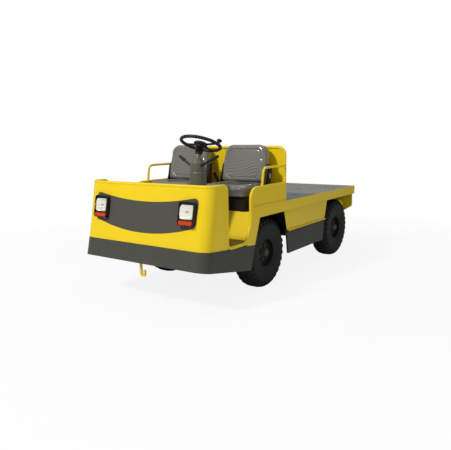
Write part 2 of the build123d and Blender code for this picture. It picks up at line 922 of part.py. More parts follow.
hook_plate = 12
hook_clearance = 1
bumper_back_y = nose_y + bumper_rake * (frame_rail_head - bumper_front_height) + bumper_inset + bumper_wall
frame_front_y = bumper_back_y + hook_plate + hook_clearance
behind_front_tyre = front_axle + hub_height + 65
ahead_of_rear_tyre = rear_axle - hub_height - 160
cross_members = [
    frame_front_y,
    front_axle - 400,
    behind_front_tyre + 60,
    ahead_of_rear_tyre - 5,
    tail_y - 135,
]
outriggers = [front_axle - 600, behind_front_tyre, ahead_of_rear_tyre]
uprights = [behind_front_tyre, ahead_of_rear_tyre, tail_y - 125]
with BuildPart() as chassis_frame:
    for side in (-1, 1):
        outer_x = side * frame_rail_outer
        inner_x = side * frame_rail_inner
        web_x = outer_x - side * frame_rail_wall
        block(
            (min(outer_x, inner_x), frame_front_y, frame_rail_foot),
            (max(outer_x, inner_x), apron_y, frame_rail_head),
        )
        block(
            (min(web_x, inner_x), frame_front_y - 1, frame_rail_foot + frame_rail_wall),
            (max(web_x, inner_x), apron_y + 1, frame_rail_head - frame_rail_wall),
            Mode.SUBTRACT,
        )
    web_inside = frame_rail_outer - frame_rail_wall
    for member_y in cross_members:
        block(
            (-web_inside, member_y, frame_rail_foot + frame_rail_wall),
            (web_inside, member_y + 50, frame_rail_head - frame_rail_wall),
        )
    for arm_y in outriggers:
        for side in (-1, 1):
            inner_x = side * frame_rail_outer
            outer_x = side * skirt_inner
            block(
                (min(inner_x, outer_x), arm_y - 20, frame_rail_head - 62),
                (max(inner_x, outer_x), arm_y + 20, frame_rail_head - 12),
            )
    for post_y in uprights:
        for side in (-1, 1):
            with Locations((side * frame_rail_x, post_y, (frame_rail_head + arch_top) / 2)):
                Box(frame_rail_width, 50, arch_top - frame_rail_head)
    for axle in (front_axle, rear_axle):
        for side in (-1, 1):
            for end in (-1, 1):
                with Locations((side * frame_rail_x, axle + end * spring_reach, frame_rail_foot - 8)):
                    Box(frame_rail_width, 40, 16)
finish(chassis_frame, "chassis_frame")

battery_front = behind_front_tyre + 40
battery_rear = ahead_of_rear_tyre - 35
battery_half = half_width - 265
with BuildPart() as battery_block:
    block(
        (-battery_half, battery_front, frame_rail_head),
        (battery_half, battery_rear, deck_rail_foot),
    )
    fillet(battery_block.edges().filter_by(Axis.Z), radius=10)
finish(battery_block, "battery_block")

# Axles and springs

spring_eye = frame_rail_foot - 16 - 17
spring_low = hub_height - spring_under_hub
spring_dip = spring_eye - spring_low
spring_leaves = [
    # reach each way, drop below the main leaf
    (spring_reach, 0),
    (spring_reach * 0.68, spring_leaf),
    (spring_reach * 0.4, 2 * spring_leaf),
]
spring_bow = (spring_reach**2 + spring_dip**2) / (2 * spring_dip)
with BuildPart() as leaf_springs:
    for axle in (front_axle, rear_axle):
        centre_z = spring_low + spring_bow
        for side in (-1, 1):
            start_x = side * frame_rail_x - spring_width / 2
            for reach, drop in spring_leaves:
                outer_bow = spring_bow + drop + spring_leaf / 2
                inner_bow = outer_bow - spring_leaf
                lift_outer = centre_z - (outer_bow**2 - reach**2) ** 0.5
                lift_inner = centre_z - (inner_bow**2 - reach**2) ** 0.5
                with BuildSketch(Plane.YZ.offset(start_x)):
                    with BuildLine():
                        ThreePointArc(
                            (axle - reach, lift_outer),
                            (axle, centre_z - outer_bow),
                            (axle + reach, lift_outer),
                        )
                        Line((axle + reach, lift_outer), (axle + reach, lift_inner))
                        ThreePointArc(
                            (axle + reach, lift_inner),
                            (axle, centre_z - inner_bow),
                            (axle - reach, lift_inner),
                        )
                        Line((axle - reach, lift_inner), (axle - reach, lift_outer))
                    make_face()
                extrude(amount=spring_width)
            for end in (-1, 1):
                eye = (axle + end * spring_reach, spring_eye + 2)
                with BuildSketch(Plane.YZ.offset(start_x)):
                    with Locations(eye):
                        Circle(15)
                extrude(amount=spring_width)
finish(leaf_springs, "leaf_springs")

beam_half = 30
boss_radius = 28
boss_half = 52
spring_top = spring_low + spring_leaf / 2
with BuildPart() as front_axle_beam:
    block(
        (-kingpin_x, front_axle - beam_half + 4, hub_height - 35),
        (kingpin_x, front_axle + beam_half - 4, hub_height + 35),
    )
    for side in (-1, 1):
        foot = (side * kingpin_x, front_axle, hub_height - boss_half)
        head = (side * kingpin_x, front_axle, hub_height + boss_half)
        rod(foot, head, boss_radius)
        block(
            (side * frame_rail_x - 25, front_axle - 40, spring_top),
            (side * frame_rail_x + 25, front_axle + 40, hub_height - 35),
        )
    for side in (-1, 1):
        rod(
            (side * kingpin_x, front_axle, hub_height - boss_half),
            (side * kingpin_x, front_axle, hub_height + boss_half),
            kingpin_radius + turning_gap,
            Mode.SUBTRACT,
        )
    add(leaf_springs.part, mode=Mode.SUBTRACT)
finish(front_axle_beam, "front_axle_beam")

axle_tube = 45
stub_x = tyre_centre - 26
spindle_radius = 20
spindle_end = tyre_centre + 42
backing_plate = 8
backing_radius = 95
casing_radius = 118
casing_half = frame_rail_inner / 2
with BuildPart() as rear_axle_housing:
    with BuildSketch(wheel_section(0, rear_axle)):
        with BuildLine():
            Polyline(
                (-spindle_end, 0),
                (-spindle_end, spindle_radius),
                (-stub_x, spindle_radius),
                (-stub_x, backing_radius),
                (-stub_x + backing_plate, backing_radius),
                (-stub_x + backing_plate, axle_tube),
                (-casing_half - 40, axle_tube),
                (-casing_half, casing_radius * 0.6),
            )
            ThreePointArc(
                (-casing_half, casing_radius * 0.6), (0, casing_radius), (casing_half, casing_radius * 0.6)
            )
            Polyline(
                (casing_half, casing_radius * 0.6),
                (casing_half + 40, axle_tube),
                (stub_x - backing_plate, axle_tube),
                (stub_x - backing_plate, backing_radius),
                (stub_x, backing_radius),
                (stub_x, spindle_radius),
                (spindle_end, spindle_radius),
                (spindle_end, 0),
                (-spindle_end, 0),
            )
        make_face()
    revolve(axis=Axis((0, rear_axle, hub_height), (1, 0, 0)))
    for side in (-1, 1):
        block(
            (side * frame_rail_x - 25, rear_axle - 40, spring_top),
            (side * frame_rail_x + 25, rear_axle + 40, hub_height - 30),
        )
    add(leaf_springs.part, mode=Mode.SUBTRACT)
finish(rear_axle_housing, "rear_axle_housing")

motor_radius = 84
motor_length = 250
with BuildPart() as drive_motor:
    rod(
        (0, rear_axle - 100 - motor_length, hub_height),
        (0, rear_axle - 90, hub_height),
        motor_radius,
    )
    add(rear_axle_housing.part, mode=Mode.SUBTRACT)
finish(drive_motor, "drive_motor")

# Knuckles that turn on the kingpins, and the tie rod between their arms

ear_thick = 16
ear_radius = 30
web_x = kingpin_x + boss_radius + 4
web_end = web_x + 18
arm_foot = hub_height - 10
arm_thick = 20
stud_radius = 8
arm_y = front_axle + steering_arm
with BuildPart() as knuckle_left:
    for foot in (hub_height + boss_half + thrust_gap, hub_height - boss_half - thrust_gap - ear_thick):
        with BuildSketch(Plane.XY.offset(foot)):
            with Locations((kingpin_x, front_axle)):
                Circle(ear_radius)
            with Locations(((kingpin_x + web_end) / 2, front_axle)):
                Rectangle(web_end - kingpin_x, 2 * ear_radius)
        extrude(amount=ear_thick)
    block(
        (web_x, front_axle - ear_radius, hub_height - boss_half - thrust_gap - ear_thick),
        (web_end, front_axle + ear_radius, hub_height + boss_half + thrust_gap + ear_thick),
    )
    rod(
        (kingpin_x, front_axle, hub_height - boss_half - thrust_gap - ear_thick),
        (kingpin_x, front_axle, hub_height + boss_half + thrust_gap + ear_thick),
        kingpin_radius,
    )
    rod((web_end, front_axle, hub_height), (spindle_end, front_axle, hub_height), spindle_radius)
    with BuildSketch(Plane.XY.offset(arm_foot)):
        with BuildLine():
            Polyline(
                (web_x, front_axle),
                (web_end, front_axle),
                (web_end, front_axle + 35),
                (kingpin_x + 12, arm_y),
                (kingpin_x - 12, arm_y),
                (kingpin_x + 6, front_axle + boss_radius + 22),
                (web_x, front_axle + boss_radius + 2),
                close=True,
            )
        make_face()
        with Locations((kingpin_x, arm_y)):
            Circle(17)
    extrude(amount=arm_thick)
    rod(
        (kingpin_x, arm_y, arm_foot - 1),
        (kingpin_x, arm_y, arm_foot + arm_thick + 1),
        stud_radius + turning_gap,
        Mode.SUBTRACT,
    )
finish(knuckle_left, "knuckle_left")
finish(mirrored(knuckle_left), "knuckle_right")

tie_rod_radius = 10
tie_rod_eye = 12
tie_rod_z = arm_foot + arm_thick + 0.5 + tie_rod_eye
with BuildPart() as tie_rod:
    rod((-kingpin_x, arm_y, tie_rod_z), (kingpin_x, arm_y, tie_rod_z), tie_rod_radius)
    for side in (-1, 1):
        rod(
            (side * kingpin_x, arm_y, tie_rod_z - tie_rod_eye),
            (side * kingpin_x, arm_y, tie_rod_z + tie_rod_eye),
            16,
        )
        rod(
            (side * kingpin_x, arm_y, arm_foot),
            (side * kingpin_x, arm_y, tie_rod_z),
            stud_radius,
        )
finish(tie_rod, "tie_rod")

# Wheels: a disc wheel with its hub and drum, and a lugged tyre, at four corners

rim_half = 66
flange_thick = 6
bead_half = rim_half - flange_thick - seat_gap
disc_offset = 22
disc_thick = 9
drum_radius = 96
drum_start = -14
cap_radius = 34
cap_end = 66
tread_half = tyre_width / 2 - 7.5
tread_groove = 3
valley_radius = tyre_radius - lug_depth
carcass_radius = valley_radius - 7
shoulder_radius = carcass_radius - 12
widest_radius = tyre_radius - 80
lug_pitch = 360 / lug_count
lug_corners = [
    # radius, turn from the lug's middle in degrees
    (valley_radius, -4.4),
    (tyre_radius, -3.4),
    (tyre_radius, 3.4),
    (valley_radius, 4.4),
]


def make_rim(centre_x, axle_y):
    barrel_inner = rim_seat_radius - rim_wall
    with BuildPart() as rim:
        with BuildSketch(wheel_section(centre_x, axle_y)):
            with BuildLine():
                Polyline(
                    (-rim_half, barrel_inner),
                    (-rim_half, rim_flange_radius),
                    (-rim_half + flange_thick, rim_flange_radius),
                    (-rim_half + flange_thick, rim_seat_radius),
                    (rim_half - flange_thick, rim_seat_radius),
                    (rim_half - flange_thick, rim_flange_radius),
                    (rim_half, rim_flange_radius),
                    (rim_half, barrel_inner),
                    (disc_offset + disc_thick, barrel_inner),
                    (disc_offset + disc_thick, cap_radius + 12),
                    (disc_offset + disc_thick + 14, cap_radius + 4),
                    (disc_offset + disc_thick + 14, cap_radius),
                    (cap_end - 6, cap_radius),
                    (cap_end, cap_radius - 8),
                    (cap_end, 0),
                    (spindle_end - tyre_centre + 2, 0),
                    (spindle_end - tyre_centre + 2, spindle_radius + turning_gap),
                    (drum_start, spindle_radius + turning_gap),
                    (drum_start, drum_radius),
                    (disc_offset, drum_radius),
                    (disc_offset, barrel_inner),
                    close=True,
                )
            make_face()
        revolve(axis=Axis((centre_x, axle_y, hub_height), (1, 0, 0)))
    return rim


# One tyre is built round the origin, with its axle along X, and set at each corner
with BuildPart() as tyre:
    half_section = [
        (tread_half, carcass_radius),
        (tread_half, shoulder_radius),
        (tyre_width / 2, widest_radius),
        (bead_half, rim_flange_radius + 3),
        (bead_half, rim_seat_radius + seat_gap),
    ]
    with BuildSketch(Plane.XY):
        with BuildLine():
            Polyline(*half_section, *[(-x, y) for x, y in reversed(half_section)], close=True)
        make_face()
    revolve(axis=Axis.X)
    for side in (-1, 1):
        outline = []
        for step in range(lug_count):
            for radius, turn in lug_corners:
                angle = radians((step + side / 4) * lug_pitch + turn)
                outline.append((radius * cos(angle), radius * sin(angle)))
        with BuildSketch(Plane.YZ.offset(side * tread_groove)) as ring:
            with BuildLine():
                Polyline(*outline, close=True)
            make_face()
            Circle(carcass_radius - 8, mode=Mode.SUBTRACT)
        extrude(ring.sketch, amount=side * (tread_half - tread_groove))

for end, axle_y in (("front", front_axle), ("rear", rear_axle)):
    rim = make_rim(tyre_centre, axle_y)
    with BuildPart() as placed_tyre:
        add(Pos(tyre_centre, axle_y, hub_height) * tyre.part)
    for stem, piece in (("rim", rim), ("tyre", placed_tyre)):
        finish(piece, f"{stem}_{end}_left")
        finish(mirrored(piece), f"{stem}_{end}_right")

# Front towing hook: a flat plate cut as a J, hung from the front cross member

hook_face_y = frame_front_y
hook_top = frame_rail_head - 20
hook_foot = bumper_front_height - 115
with BuildPart() as tow_hook:
    with BuildSketch(Plane.XZ.offset(-hook_face_y)):
        with BuildLine():
            Polyline(
                (-30, hook_top),
                (-30, hook_foot + 45),
                (-30, hook_foot + 12),
                (-18, hook_foot),
                (14, hook_foot),
                (26, hook_foot + 14),
                (26, hook_foot + 50),
                (10, hook_foot + 50),
                (10, hook_foot + 26),
                (2, hook_foot + 18),
                (-6, hook_foot + 18),
                (-10, hook_foot + 24),
                (-10, hook_top),
                close=True,
            )
        make_face()
    extrude(amount=hook_plate)
finish(tow_hook, "tow_hook")
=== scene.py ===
"""An open two-seat airport tug with a flat load deck, dressed in Blender.

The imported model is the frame. New pieces are surfaces worked out with numpy in metres,
in the same frame: the nose points to -Y, the vehicle's left side to +X, and the wheels
stand on Z = 0.
"""
import json

import bmesh
import bpy
import mathutils
import numpy as np
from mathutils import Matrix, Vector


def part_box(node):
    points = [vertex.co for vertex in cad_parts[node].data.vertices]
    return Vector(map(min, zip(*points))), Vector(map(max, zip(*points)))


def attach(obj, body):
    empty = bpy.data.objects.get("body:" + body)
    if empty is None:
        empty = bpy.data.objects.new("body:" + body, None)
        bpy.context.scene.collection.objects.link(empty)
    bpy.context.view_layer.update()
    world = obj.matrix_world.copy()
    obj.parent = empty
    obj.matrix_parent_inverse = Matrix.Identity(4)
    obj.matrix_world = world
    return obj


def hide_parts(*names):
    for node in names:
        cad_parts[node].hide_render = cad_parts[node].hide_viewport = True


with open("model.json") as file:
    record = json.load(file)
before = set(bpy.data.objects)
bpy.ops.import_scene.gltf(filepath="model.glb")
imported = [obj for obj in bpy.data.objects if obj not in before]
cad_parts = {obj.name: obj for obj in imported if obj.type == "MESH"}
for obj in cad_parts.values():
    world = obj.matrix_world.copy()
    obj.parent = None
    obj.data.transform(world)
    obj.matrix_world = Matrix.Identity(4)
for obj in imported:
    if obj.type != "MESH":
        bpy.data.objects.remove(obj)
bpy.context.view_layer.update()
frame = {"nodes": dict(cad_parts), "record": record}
scene = bpy.context.scene

# Places read from the frame

tyre_low, tyre_high = (np.array(corner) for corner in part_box("tyre_front_left"))
tyre_radius = (tyre_high[2] - tyre_low[2]) / 2
tyre_half = (tyre_high[0] - tyre_low[0]) / 2
rim_seat_radius = 0.1273
front_axle_y = (tyre_low[1] + tyre_high[1]) / 2
rear_axle_y = sum(corner[1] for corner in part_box("tyre_rear_left")) / 2
hub_z = (tyre_low[2] + tyre_high[2]) / 2
wheel_x = (tyre_low[0] + tyre_high[0]) / 2


# Meshes

def link(name, data):
    """Put a mesh, lamp or camera in the scene as an object at the origin."""
    piece = bpy.data.objects.new(name, data)
    scene.collection.objects.link(piece)
    return piece


def shade_smooth(mesh, angle=0.6):
    """Smooth shading, kept sharp where faces meet at more than this angle."""
    mesh.shade_smooth()
    mesh.set_sharp_from_angle(angle=angle)


def outwards(mesh):
    """Weld a mesh's doubled points and turn the faces of its closed shells outwards."""
    shell = bmesh.new()
    shell.from_mesh(mesh)
    bmesh.ops.remove_doubles(shell, verts=shell.verts[:], dist=1e-6)
    bmesh.ops.dissolve_degenerate(shell, edges=shell.edges[:], dist=1e-7)
    bmesh.ops.recalc_face_normals(shell, faces=shell.faces[:])
    shell.to_mesh(mesh)
    shell.free()


def mesh_from(name, points, faces, smooth=0.6):
    """A mesh of vertices and faces given as arrays, its normals turned outwards."""
    mesh = bpy.data.meshes.new(name)
    corners = np.asarray(points, float).reshape(-1, 3).tolist()
    mesh.from_pydata(corners, [], [list(face) for face in faces])
    outwards(mesh)
    shade_smooth(mesh, smooth)
    return mesh


def grid_faces(rows, columns, loop_rows, loop_columns):
    """Quads of a grid of points, joined end to end along the directions that loop."""
    row, column = np.meshgrid(
        np.arange(rows if loop_rows else rows - 1),
        np.arange(columns if loop_columns else columns - 1),
        indexing="ij",
    )
    next_row, next_column = (row + 1) % rows, (column + 1) % columns
    corners = [row * columns + column, next_row * columns + column,
               next_row * columns + next_column, row * columns + next_column]
    return np.stack([c.ravel() for c in corners], axis=1)


def tube_faces(rows, columns, closed=False):
    """Quads round a tube of rings, its ends filled or, with closed, joined."""
    faces = grid_faces(rows, columns, closed, True).tolist()
    if not closed:
        faces.append(list(range(columns)))
        faces.append([(rows - 1) * columns + column for column in range(columns)])
    return faces


def surface(name, points, loop_rows=False, loop_columns=False, smooth=0.6):
    """A mesh over a grid of points of shape (rows, columns, 3)."""
    rows, columns = points.shape[:2]
    faces = grid_faces(rows, columns, loop_rows, loop_columns)
    return mesh_from(name, points, faces.tolist(), smooth)


def joined(name, parts, smooth=0.6):
    """One mesh out of several (points, faces) pairs."""
    points, faces, count = [], [], 0
    for part_points, part_faces in parts:
        flat = np.asarray(part_points, float).reshape(-1, 3)
        points.append(flat)
        faces += [[index + count for index in face] for face in part_faces]
        count += len(flat)
    return mesh_from(name, np.concatenate(points), faces, smooth)


def unit(vector):
    """A vector, or the rows of an array of them, at length 1."""
    vector = np.asarray(vector, float)
    return vector / np.linalg.norm(vector, axis=-1, keepdims=True)


def turned(profile, centre, axis=(1, 0, 0), steps=32, start=0.0):
    """Carry a closed (along, radius) profile round an axis through centre.

    Each point is centre + axis * along + (first * cos(angle) + second * sin(angle)) * radius.
    """
    axis = unit(axis)
    first = unit(np.cross(axis, (0.31, 0.17, 0.93) if abs(axis[2]) < 0.9 else (1, 0, 0)))
    second = np.cross(axis, first)
    angle = (start + np.linspace(0, 2 * np.pi, steps, endpoint=False))[:, None]
    spoke = np.cos(angle) * first + np.sin(angle) * second
    along, radius = np.asarray(profile, float).T
    out = radius[None, :, None] * spoke[:, None, :]
    points = np.asarray(centre, float) + along[None, :, None] * axis + out
    return points, grid_faces(steps, len(along), True, True).tolist()


def swept(section, path, across):
    """Carry a closed section along a path and close both ends.

    Each point is path + a * side + b * normal, with side as near to across as the path allows.
    """
    path = np.asarray(path, float)
    section = np.asarray(section, float)
    ahead = unit(np.gradient(path, axis=0))
    across = np.asarray(across, float)
    side = unit(across - (ahead @ across)[:, None] * ahead)
    normal = np.cross(ahead, side)
    a, b = section[None, :, :1], section[None, :, 1:]
    points = path[:, None] + side[:, None] * a + normal[:, None] * b
    return points, tube_faces(len(path), len(section))


def ring(radius, steps=12, flat=1.0):
    """A circle of that radius about the path, squeezed along its normal by flat."""
    angle = np.linspace(0, 2 * np.pi, steps, endpoint=False)
    return np.stack([radius * np.cos(angle), flat * radius * np.sin(angle)], axis=1)


def band(width, thick):
    """A strap's section: a thin rectangle."""
    return np.array([(-1, -1), (1, -1), (1, 1), (-1, 1)]) * (width / 2, thick / 2)


def curve(corners, steps=24):
    """A smooth line through corners: a Catmull-Rom spline, evenly stepped in each span."""
    corners = np.asarray(corners, float)
    padded = np.vstack([2 * corners[0] - corners[1], corners, 2 * corners[-1] - corners[-2]])
    t = np.linspace(0, 1, steps, endpoint=False)[:, None]
    spans = [
        0.5 * (2 * b + (c - a) * t + (2 * a - 5 * b + 4 * c - d) * t**2
               + (3 * b - a - 3 * c + d) * t**3)
        for a, b, c, d in zip(padded, padded[1:], padded[2:], padded[3:])
    ]
    return np.vstack(spans + [corners[-1:]])


def block(low, high):
    """A plain box between two corners."""
    low, high = np.array(low, float), np.array(high, float)
    points = [np.where(bits, high, low) for bits in np.ndindex(2, 2, 2)]
    faces = [(0, 1, 3, 2), (4, 6, 7, 5), (0, 4, 5, 1), (2, 3, 7, 6), (0, 2, 6, 4), (1, 5, 7, 3)]
    return np.array(points), faces


def smoothstep(low, high, value):
    """0 below low, 1 above high, and the cubic 3t^2 - 2t^3 between them."""
    t = np.clip((value - low) / (high - low), 0, 1)
    return t * t * (3 - 2 * t)


# Shader maths

class Field:
    """A socket's value over a surface; its arithmetic is done by Math nodes."""

    def __init__(self, nodes, socket):
        self.nodes = nodes
        self.socket = socket

    def math(self, operation, *others):
        return self.nodes.node(
            "ShaderNodeMath", {"operation": operation}, dict(enumerate((self,) + others))
        )["Value"]

    def __add__(self, other):
        return self.math("ADD", other)

    def __sub__(self, other):
        return self.math("SUBTRACT", other)

    def __rsub__(self, other):
        return (self * -1.0) + other

    def __mul__(self, other):
        return self.math("MULTIPLY", other)

    __radd__ = __add__
    __rmul__ = __mul__


class Nodes:
    """A tree of nodes, for a material or for the world."""

    def __init__(self, tree):
        self.tree = tree

    def node(self, kind, settings=(), inputs=()):
        """Add a node: its settings first, then its sockets' values or links."""
        made = self.tree.nodes.new(kind)
        for key, value in dict(settings).items():
            if key == "stops":
                for stop, (position, level) in zip(made.color_ramp.elements, value):
                    stop.position = position
                    stop.color = (level, level, level, 1)
            else:
                setattr(made, key, value)
        for key, value in dict(inputs).items():
            if isinstance(key, int):
                socket = made.inputs[key]
            else:
                socket = next(s for s in made.inputs if s.name == key and s.enabled)
            if isinstance(value, Field):
                self.tree.links.new(value.socket, socket)
            else:
                socket.default_value = value
        return {socket.name: Field(self, socket) for socket in made.outputs if socket.enabled}

    def seen(self):
        """1 for rays from the camera, straight or through glass, and 0 for others."""
        rays = self.node("ShaderNodeLightPath")
        return rays["Is Camera Ray"].math("MAXIMUM", rays["Is Transmission Ray"])


class Shader(Nodes):
    """A material whose pattern is written as expressions on Object coordinates."""

    def __init__(self, name, colour, roughness, metallic=0.0, coat=0.0,
                 coat_roughness=0.1, specular=0.5):
        self.material = bpy.data.materials.new(name)
        self.material.use_nodes = True
        super().__init__(self.material.node_tree)
        self.surface = self.tree.nodes["Principled BSDF"]
        self.colour = (*colour, 1.0)
        self.set("Base Color", self.colour)
        self.set("Roughness", roughness)
        self.set("Metallic", metallic)
        self.set("Coat Weight", coat)
        self.set("Coat Roughness", coat_roughness)
        self.set("Specular IOR Level", specular)
        self.place = self.node("ShaderNodeTexCoord")["Object"]

    def set(self, name, value):
        """Give one socket of the surface a value or a field."""
        if isinstance(value, Field):
            self.tree.links.new(value.socket, self.surface.inputs[name])
        else:
            self.surface.inputs[name].default_value = value

    def noise(self, scale, detail=3.0, roughness=0.5, stretch=(1, 1, 1)):
        """Cloudy noise, from 0 to 1, finer as scale grows and drawn out by stretch."""
        drawn = self.node("ShaderNodeMapping", {}, {"Vector": self.place, "Scale": stretch})
        return self.node("ShaderNodeTexNoise", {}, {
            "Vector": drawn["Vector"], "Scale": scale, "Detail": detail, "Roughness": roughness,
        })["Fac"]

    def cells(self, scale):
        """Distance to the nearest of many scattered points."""
        return self.node(
            "ShaderNodeTexVoronoi", {}, {"Vector": self.place, "Scale": scale}
        )["Distance"]

    def ramp(self, value, low, high):
        """0 where the value is under low, 1 where it is over high."""
        stops = [(low, 0.0), (high, 1.0)]
        return self.node("ShaderNodeValToRGB", {"stops": stops}, {"Fac": value})["Color"]

    def spread(self):
        """The place on the surface in metres, as fields named X, Y and Z."""
        return self.node("ShaderNodeSeparateXYZ", {}, {"Vector": self.place})

    def height(self):
        """Z above the ground, in metres."""
        return self.spread()["Z"]

    def mix(self, factor, first, second):
        """Blend two colours, or fields of colour, by a factor."""
        return self.node(
            "ShaderNodeMix", {"data_type": "RGBA"}, {"Factor": factor, "A": first, "B": second}
        )["Result"]

    def tint(self, factor, other):
        """Blend this material's own colour with another by a factor, into Base Color."""
        self.set("Base Color", self.mix(factor, self.colour, (*other, 1.0)))

    def bump(self, height, strength, distance=0.001):
        """Feed a height to the surface's normal."""
        normal = self.node(
            "ShaderNodeBump", {}, {"Height": height, "Strength": strength, "Distance": distance}
        )["Normal"]
        self.set("Normal", normal)


def shade(colour, factor):
    return tuple(channel * factor for channel in colour)


# Finishes

yellow = (0.85, 0.618, 0.014)
bumper_grey = (0.062, 0.063, 0.055)
# Black painted on inner and under faces as painted shade
painted_shade_black = (0.012, 0.012, 0.011, 1)


def yellow_enamel(name="yellow_enamel", inside=False):
    """Gloss enamel with slight orange peel, dust low down and a few faint scuffs.

    With inside, only faces that look out from the vehicle's sides and ends, or up, are yellow;
    the other faces are painted black as painted shade.
    """
    paint = Shader(name, yellow, 0.32, coat=0.08, coat_roughness=0.12, specular=0.22)
    cloud = paint.noise(2.2, 4)
    scuff = paint.ramp(paint.noise(38, 5, 0.7, (1, 1, 0.25)), 0.66, 0.74)
    dust = paint.ramp(paint.height() * -1.0 + cloud * 0.25 + 0.55, 0.12, 0.5)
    aged = paint.mix(cloud * 0.35, paint.colour, (*shade(yellow, 0.86), 1))
    dusty = paint.mix(dust * 0.08, aged, (0.42, 0.36, 0.22, 1))
    coloured = paint.mix(scuff * 0.10, dusty, (0.34, 0.26, 0.06, 1))
    # Painted shade: faces that look inward or down are painted black in place of the shade in the
    # wheel wells and under the deck
    if inside:
        normal = paint.node("ShaderNodeTexCoord")["Normal"]
        facing = paint.node("ShaderNodeSeparateXYZ", {}, {"Vector": normal})
        spread = paint.spread()
        sideways = paint.ramp(facing["X"] * spread["X"], 0.2, 0.3)
        endways = paint.ramp(facing["Y"] * spread["Y"], 0.55, 0.6)
        upwards = paint.ramp(facing["Z"], 0.4, 0.6)
        shown = sideways.math("MAXIMUM", endways).math("MAXIMUM", upwards)
        coloured = paint.mix(shown, painted_shade_black, coloured)
    paint.set("Base Color", coloured)
    paint.set("Roughness", cloud * 0.12 + scuff * 0.2 + 0.24)
    paint.bump(paint.noise(240, 2), 0.06, 0.0006)
    return paint.material


def grey_coating():
    """Textured dark grey coating with road dust."""
    coating = Shader("grey_coating", bumper_grey, 0.5, specular=0.13)
    cloud = coating.noise(3.5, 5)
    dust = coating.ramp(coating.height() * -1.6 + cloud * 0.4 + 0.6, 0.1, 0.6)
    coating.tint(dust * 0.10 + cloud * 0.05, (0.2, 0.185, 0.15))
    coating.set("Roughness", cloud * 0.18 + 0.42)
    coating.bump(coating.noise(420, 3), 0.25, 0.0005)
    return coating.material


def mask_plastic():
    """Fine-grained moulded plastic."""
    plastic = Shader("mask_plastic", (0.074, 0.072, 0.062), 0.46, specular=0.15)
    cloud = plastic.noise(6, 4)
    plastic.tint(cloud * 0.10, (0.12, 0.115, 0.10))
    plastic.set("Roughness", cloud * 0.16 + 0.36)
    plastic.bump(plastic.cells(900), 0.18, 0.0004)
    return plastic.material


def black_plastic():
    """Grained black plastic, greyed where hands and dust reach."""
    plastic = Shader("black_moulding", (0.012, 0.012, 0.011), 0.42, specular=0.28)
    cloud = plastic.noise(14, 4)
    plastic.tint(cloud * 0.10, (0.06, 0.058, 0.052))
    plastic.set("Roughness", cloud * 0.2 + 0.3)
    plastic.bump(plastic.cells(1100), 0.2, 0.0004)
    return plastic.material


def console_plastic():
    """Painted sheet and plastic of the steering console, grey with a green cast."""
    plastic = Shader("console_grey", (0.125, 0.128, 0.102), 0.36, coat=0.4,
                     coat_roughness=0.16, specular=0.3)
    cloud = plastic.noise(5, 4)
    plastic.tint(cloud * 0.3, (0.09, 0.09, 0.072))
    plastic.set("Roughness", cloud * 0.15 + 0.28)
    plastic.bump(plastic.noise(320, 2), 0.1, 0.0005)
    return plastic.material


def black_steel():
    """Brush-painted chassis steel with rust blooms and dust."""
    steel = Shader("chassis_black", (0.014, 0.014, 0.013), 0.5, specular=0.2)
    cloud = steel.noise(9, 6, 0.65)
    rust = steel.ramp(steel.noise(26, 6, 0.7), 0.6, 0.72)
    dusty = steel.mix(cloud * 0.2, steel.colour, (0.06, 0.055, 0.045, 1))
    steel.set("Base Color", steel.mix(rust * 0.25, dusty, (0.07, 0.032, 0.015, 1)))
    steel.set("Roughness", cloud * 0.3 + 0.38)
    steel.bump(cloud, 0.25, 0.001)
    return steel.material


lozenge_pitch = 0.03


def deck_paint():
    """Worn grey paint over steel plate with a raised tread pattern of small lozenges."""
    plate = Shader("deck_grey", (0.28, 0.292, 0.28), 0.42, specular=0.25)
    cloud = plate.noise(3.0, 6, 0.6)
    drag = plate.ramp(plate.noise(30, 5, 0.65, (1, 0.12, 1)), 0.55, 0.7)
    spread = plate.spread()
    turns = 2 * np.pi / lozenge_pitch
    across, along = spread["X"] * turns, spread["Y"] * turns
    weave = (across + along).math("SINE") * (across - along).math("SINE")
    stud = plate.ramp(weave, 0.45, 0.75)
    grimed = plate.mix(cloud * 0.45, plate.colour, (0.15, 0.165, 0.17, 1))
    worn = plate.mix(drag * 0.3, grimed, (0.36, 0.38, 0.38, 1))
    plate.set("Base Color", plate.mix(stud * 0.12, worn, (0.4, 0.42, 0.42, 1)))
    plate.set("Roughness", cloud * 0.25 + 0.3)
    plate.bump(stud, 0.5, 0.0012)
    return plate.material


def tyre_rubber():
    """Black rubber, dusty on the tread and faintly ringed on the sidewall."""
    rubber = Shader("tyre_rubber", (0.0155, 0.016, 0.0135), 0.62, specular=0.16)
    cloud = rubber.noise(12, 5)
    grit = rubber.noise(160, 4)
    rubber.tint(cloud * 0.16 + grit * 0.06, (0.045, 0.043, 0.036))
    rubber.set("Roughness", cloud * 0.2 + 0.48)
    rubber.bump(grit, 0.3, 0.0008)
    return rubber.material


def wheel_enamel():
    """Dark wheel enamel with brake dust in its hollows."""
    enamel = Shader("wheel_enamel", (0.019, 0.0195, 0.0185), 0.4, specular=0.2)
    cloud = enamel.noise(18, 5)
    enamel.tint(cloud * 0.3, (0.035, 0.033, 0.028))
    enamel.set("Roughness", cloud * 0.25 + 0.26)
    enamel.bump(enamel.noise(200, 3), 0.12, 0.0006)
    return enamel.material


def zinc_bolt(name="zinc_fixing", colour=(0.42, 0.42, 0.4)):
    """Dull zinc-plated or painted steel fixings."""
    zinc = Shader(name, colour, 0.35, metallic=1.0)
    zinc.set("Roughness", zinc.noise(60, 4) * 0.3 + 0.25)
    return zinc.material


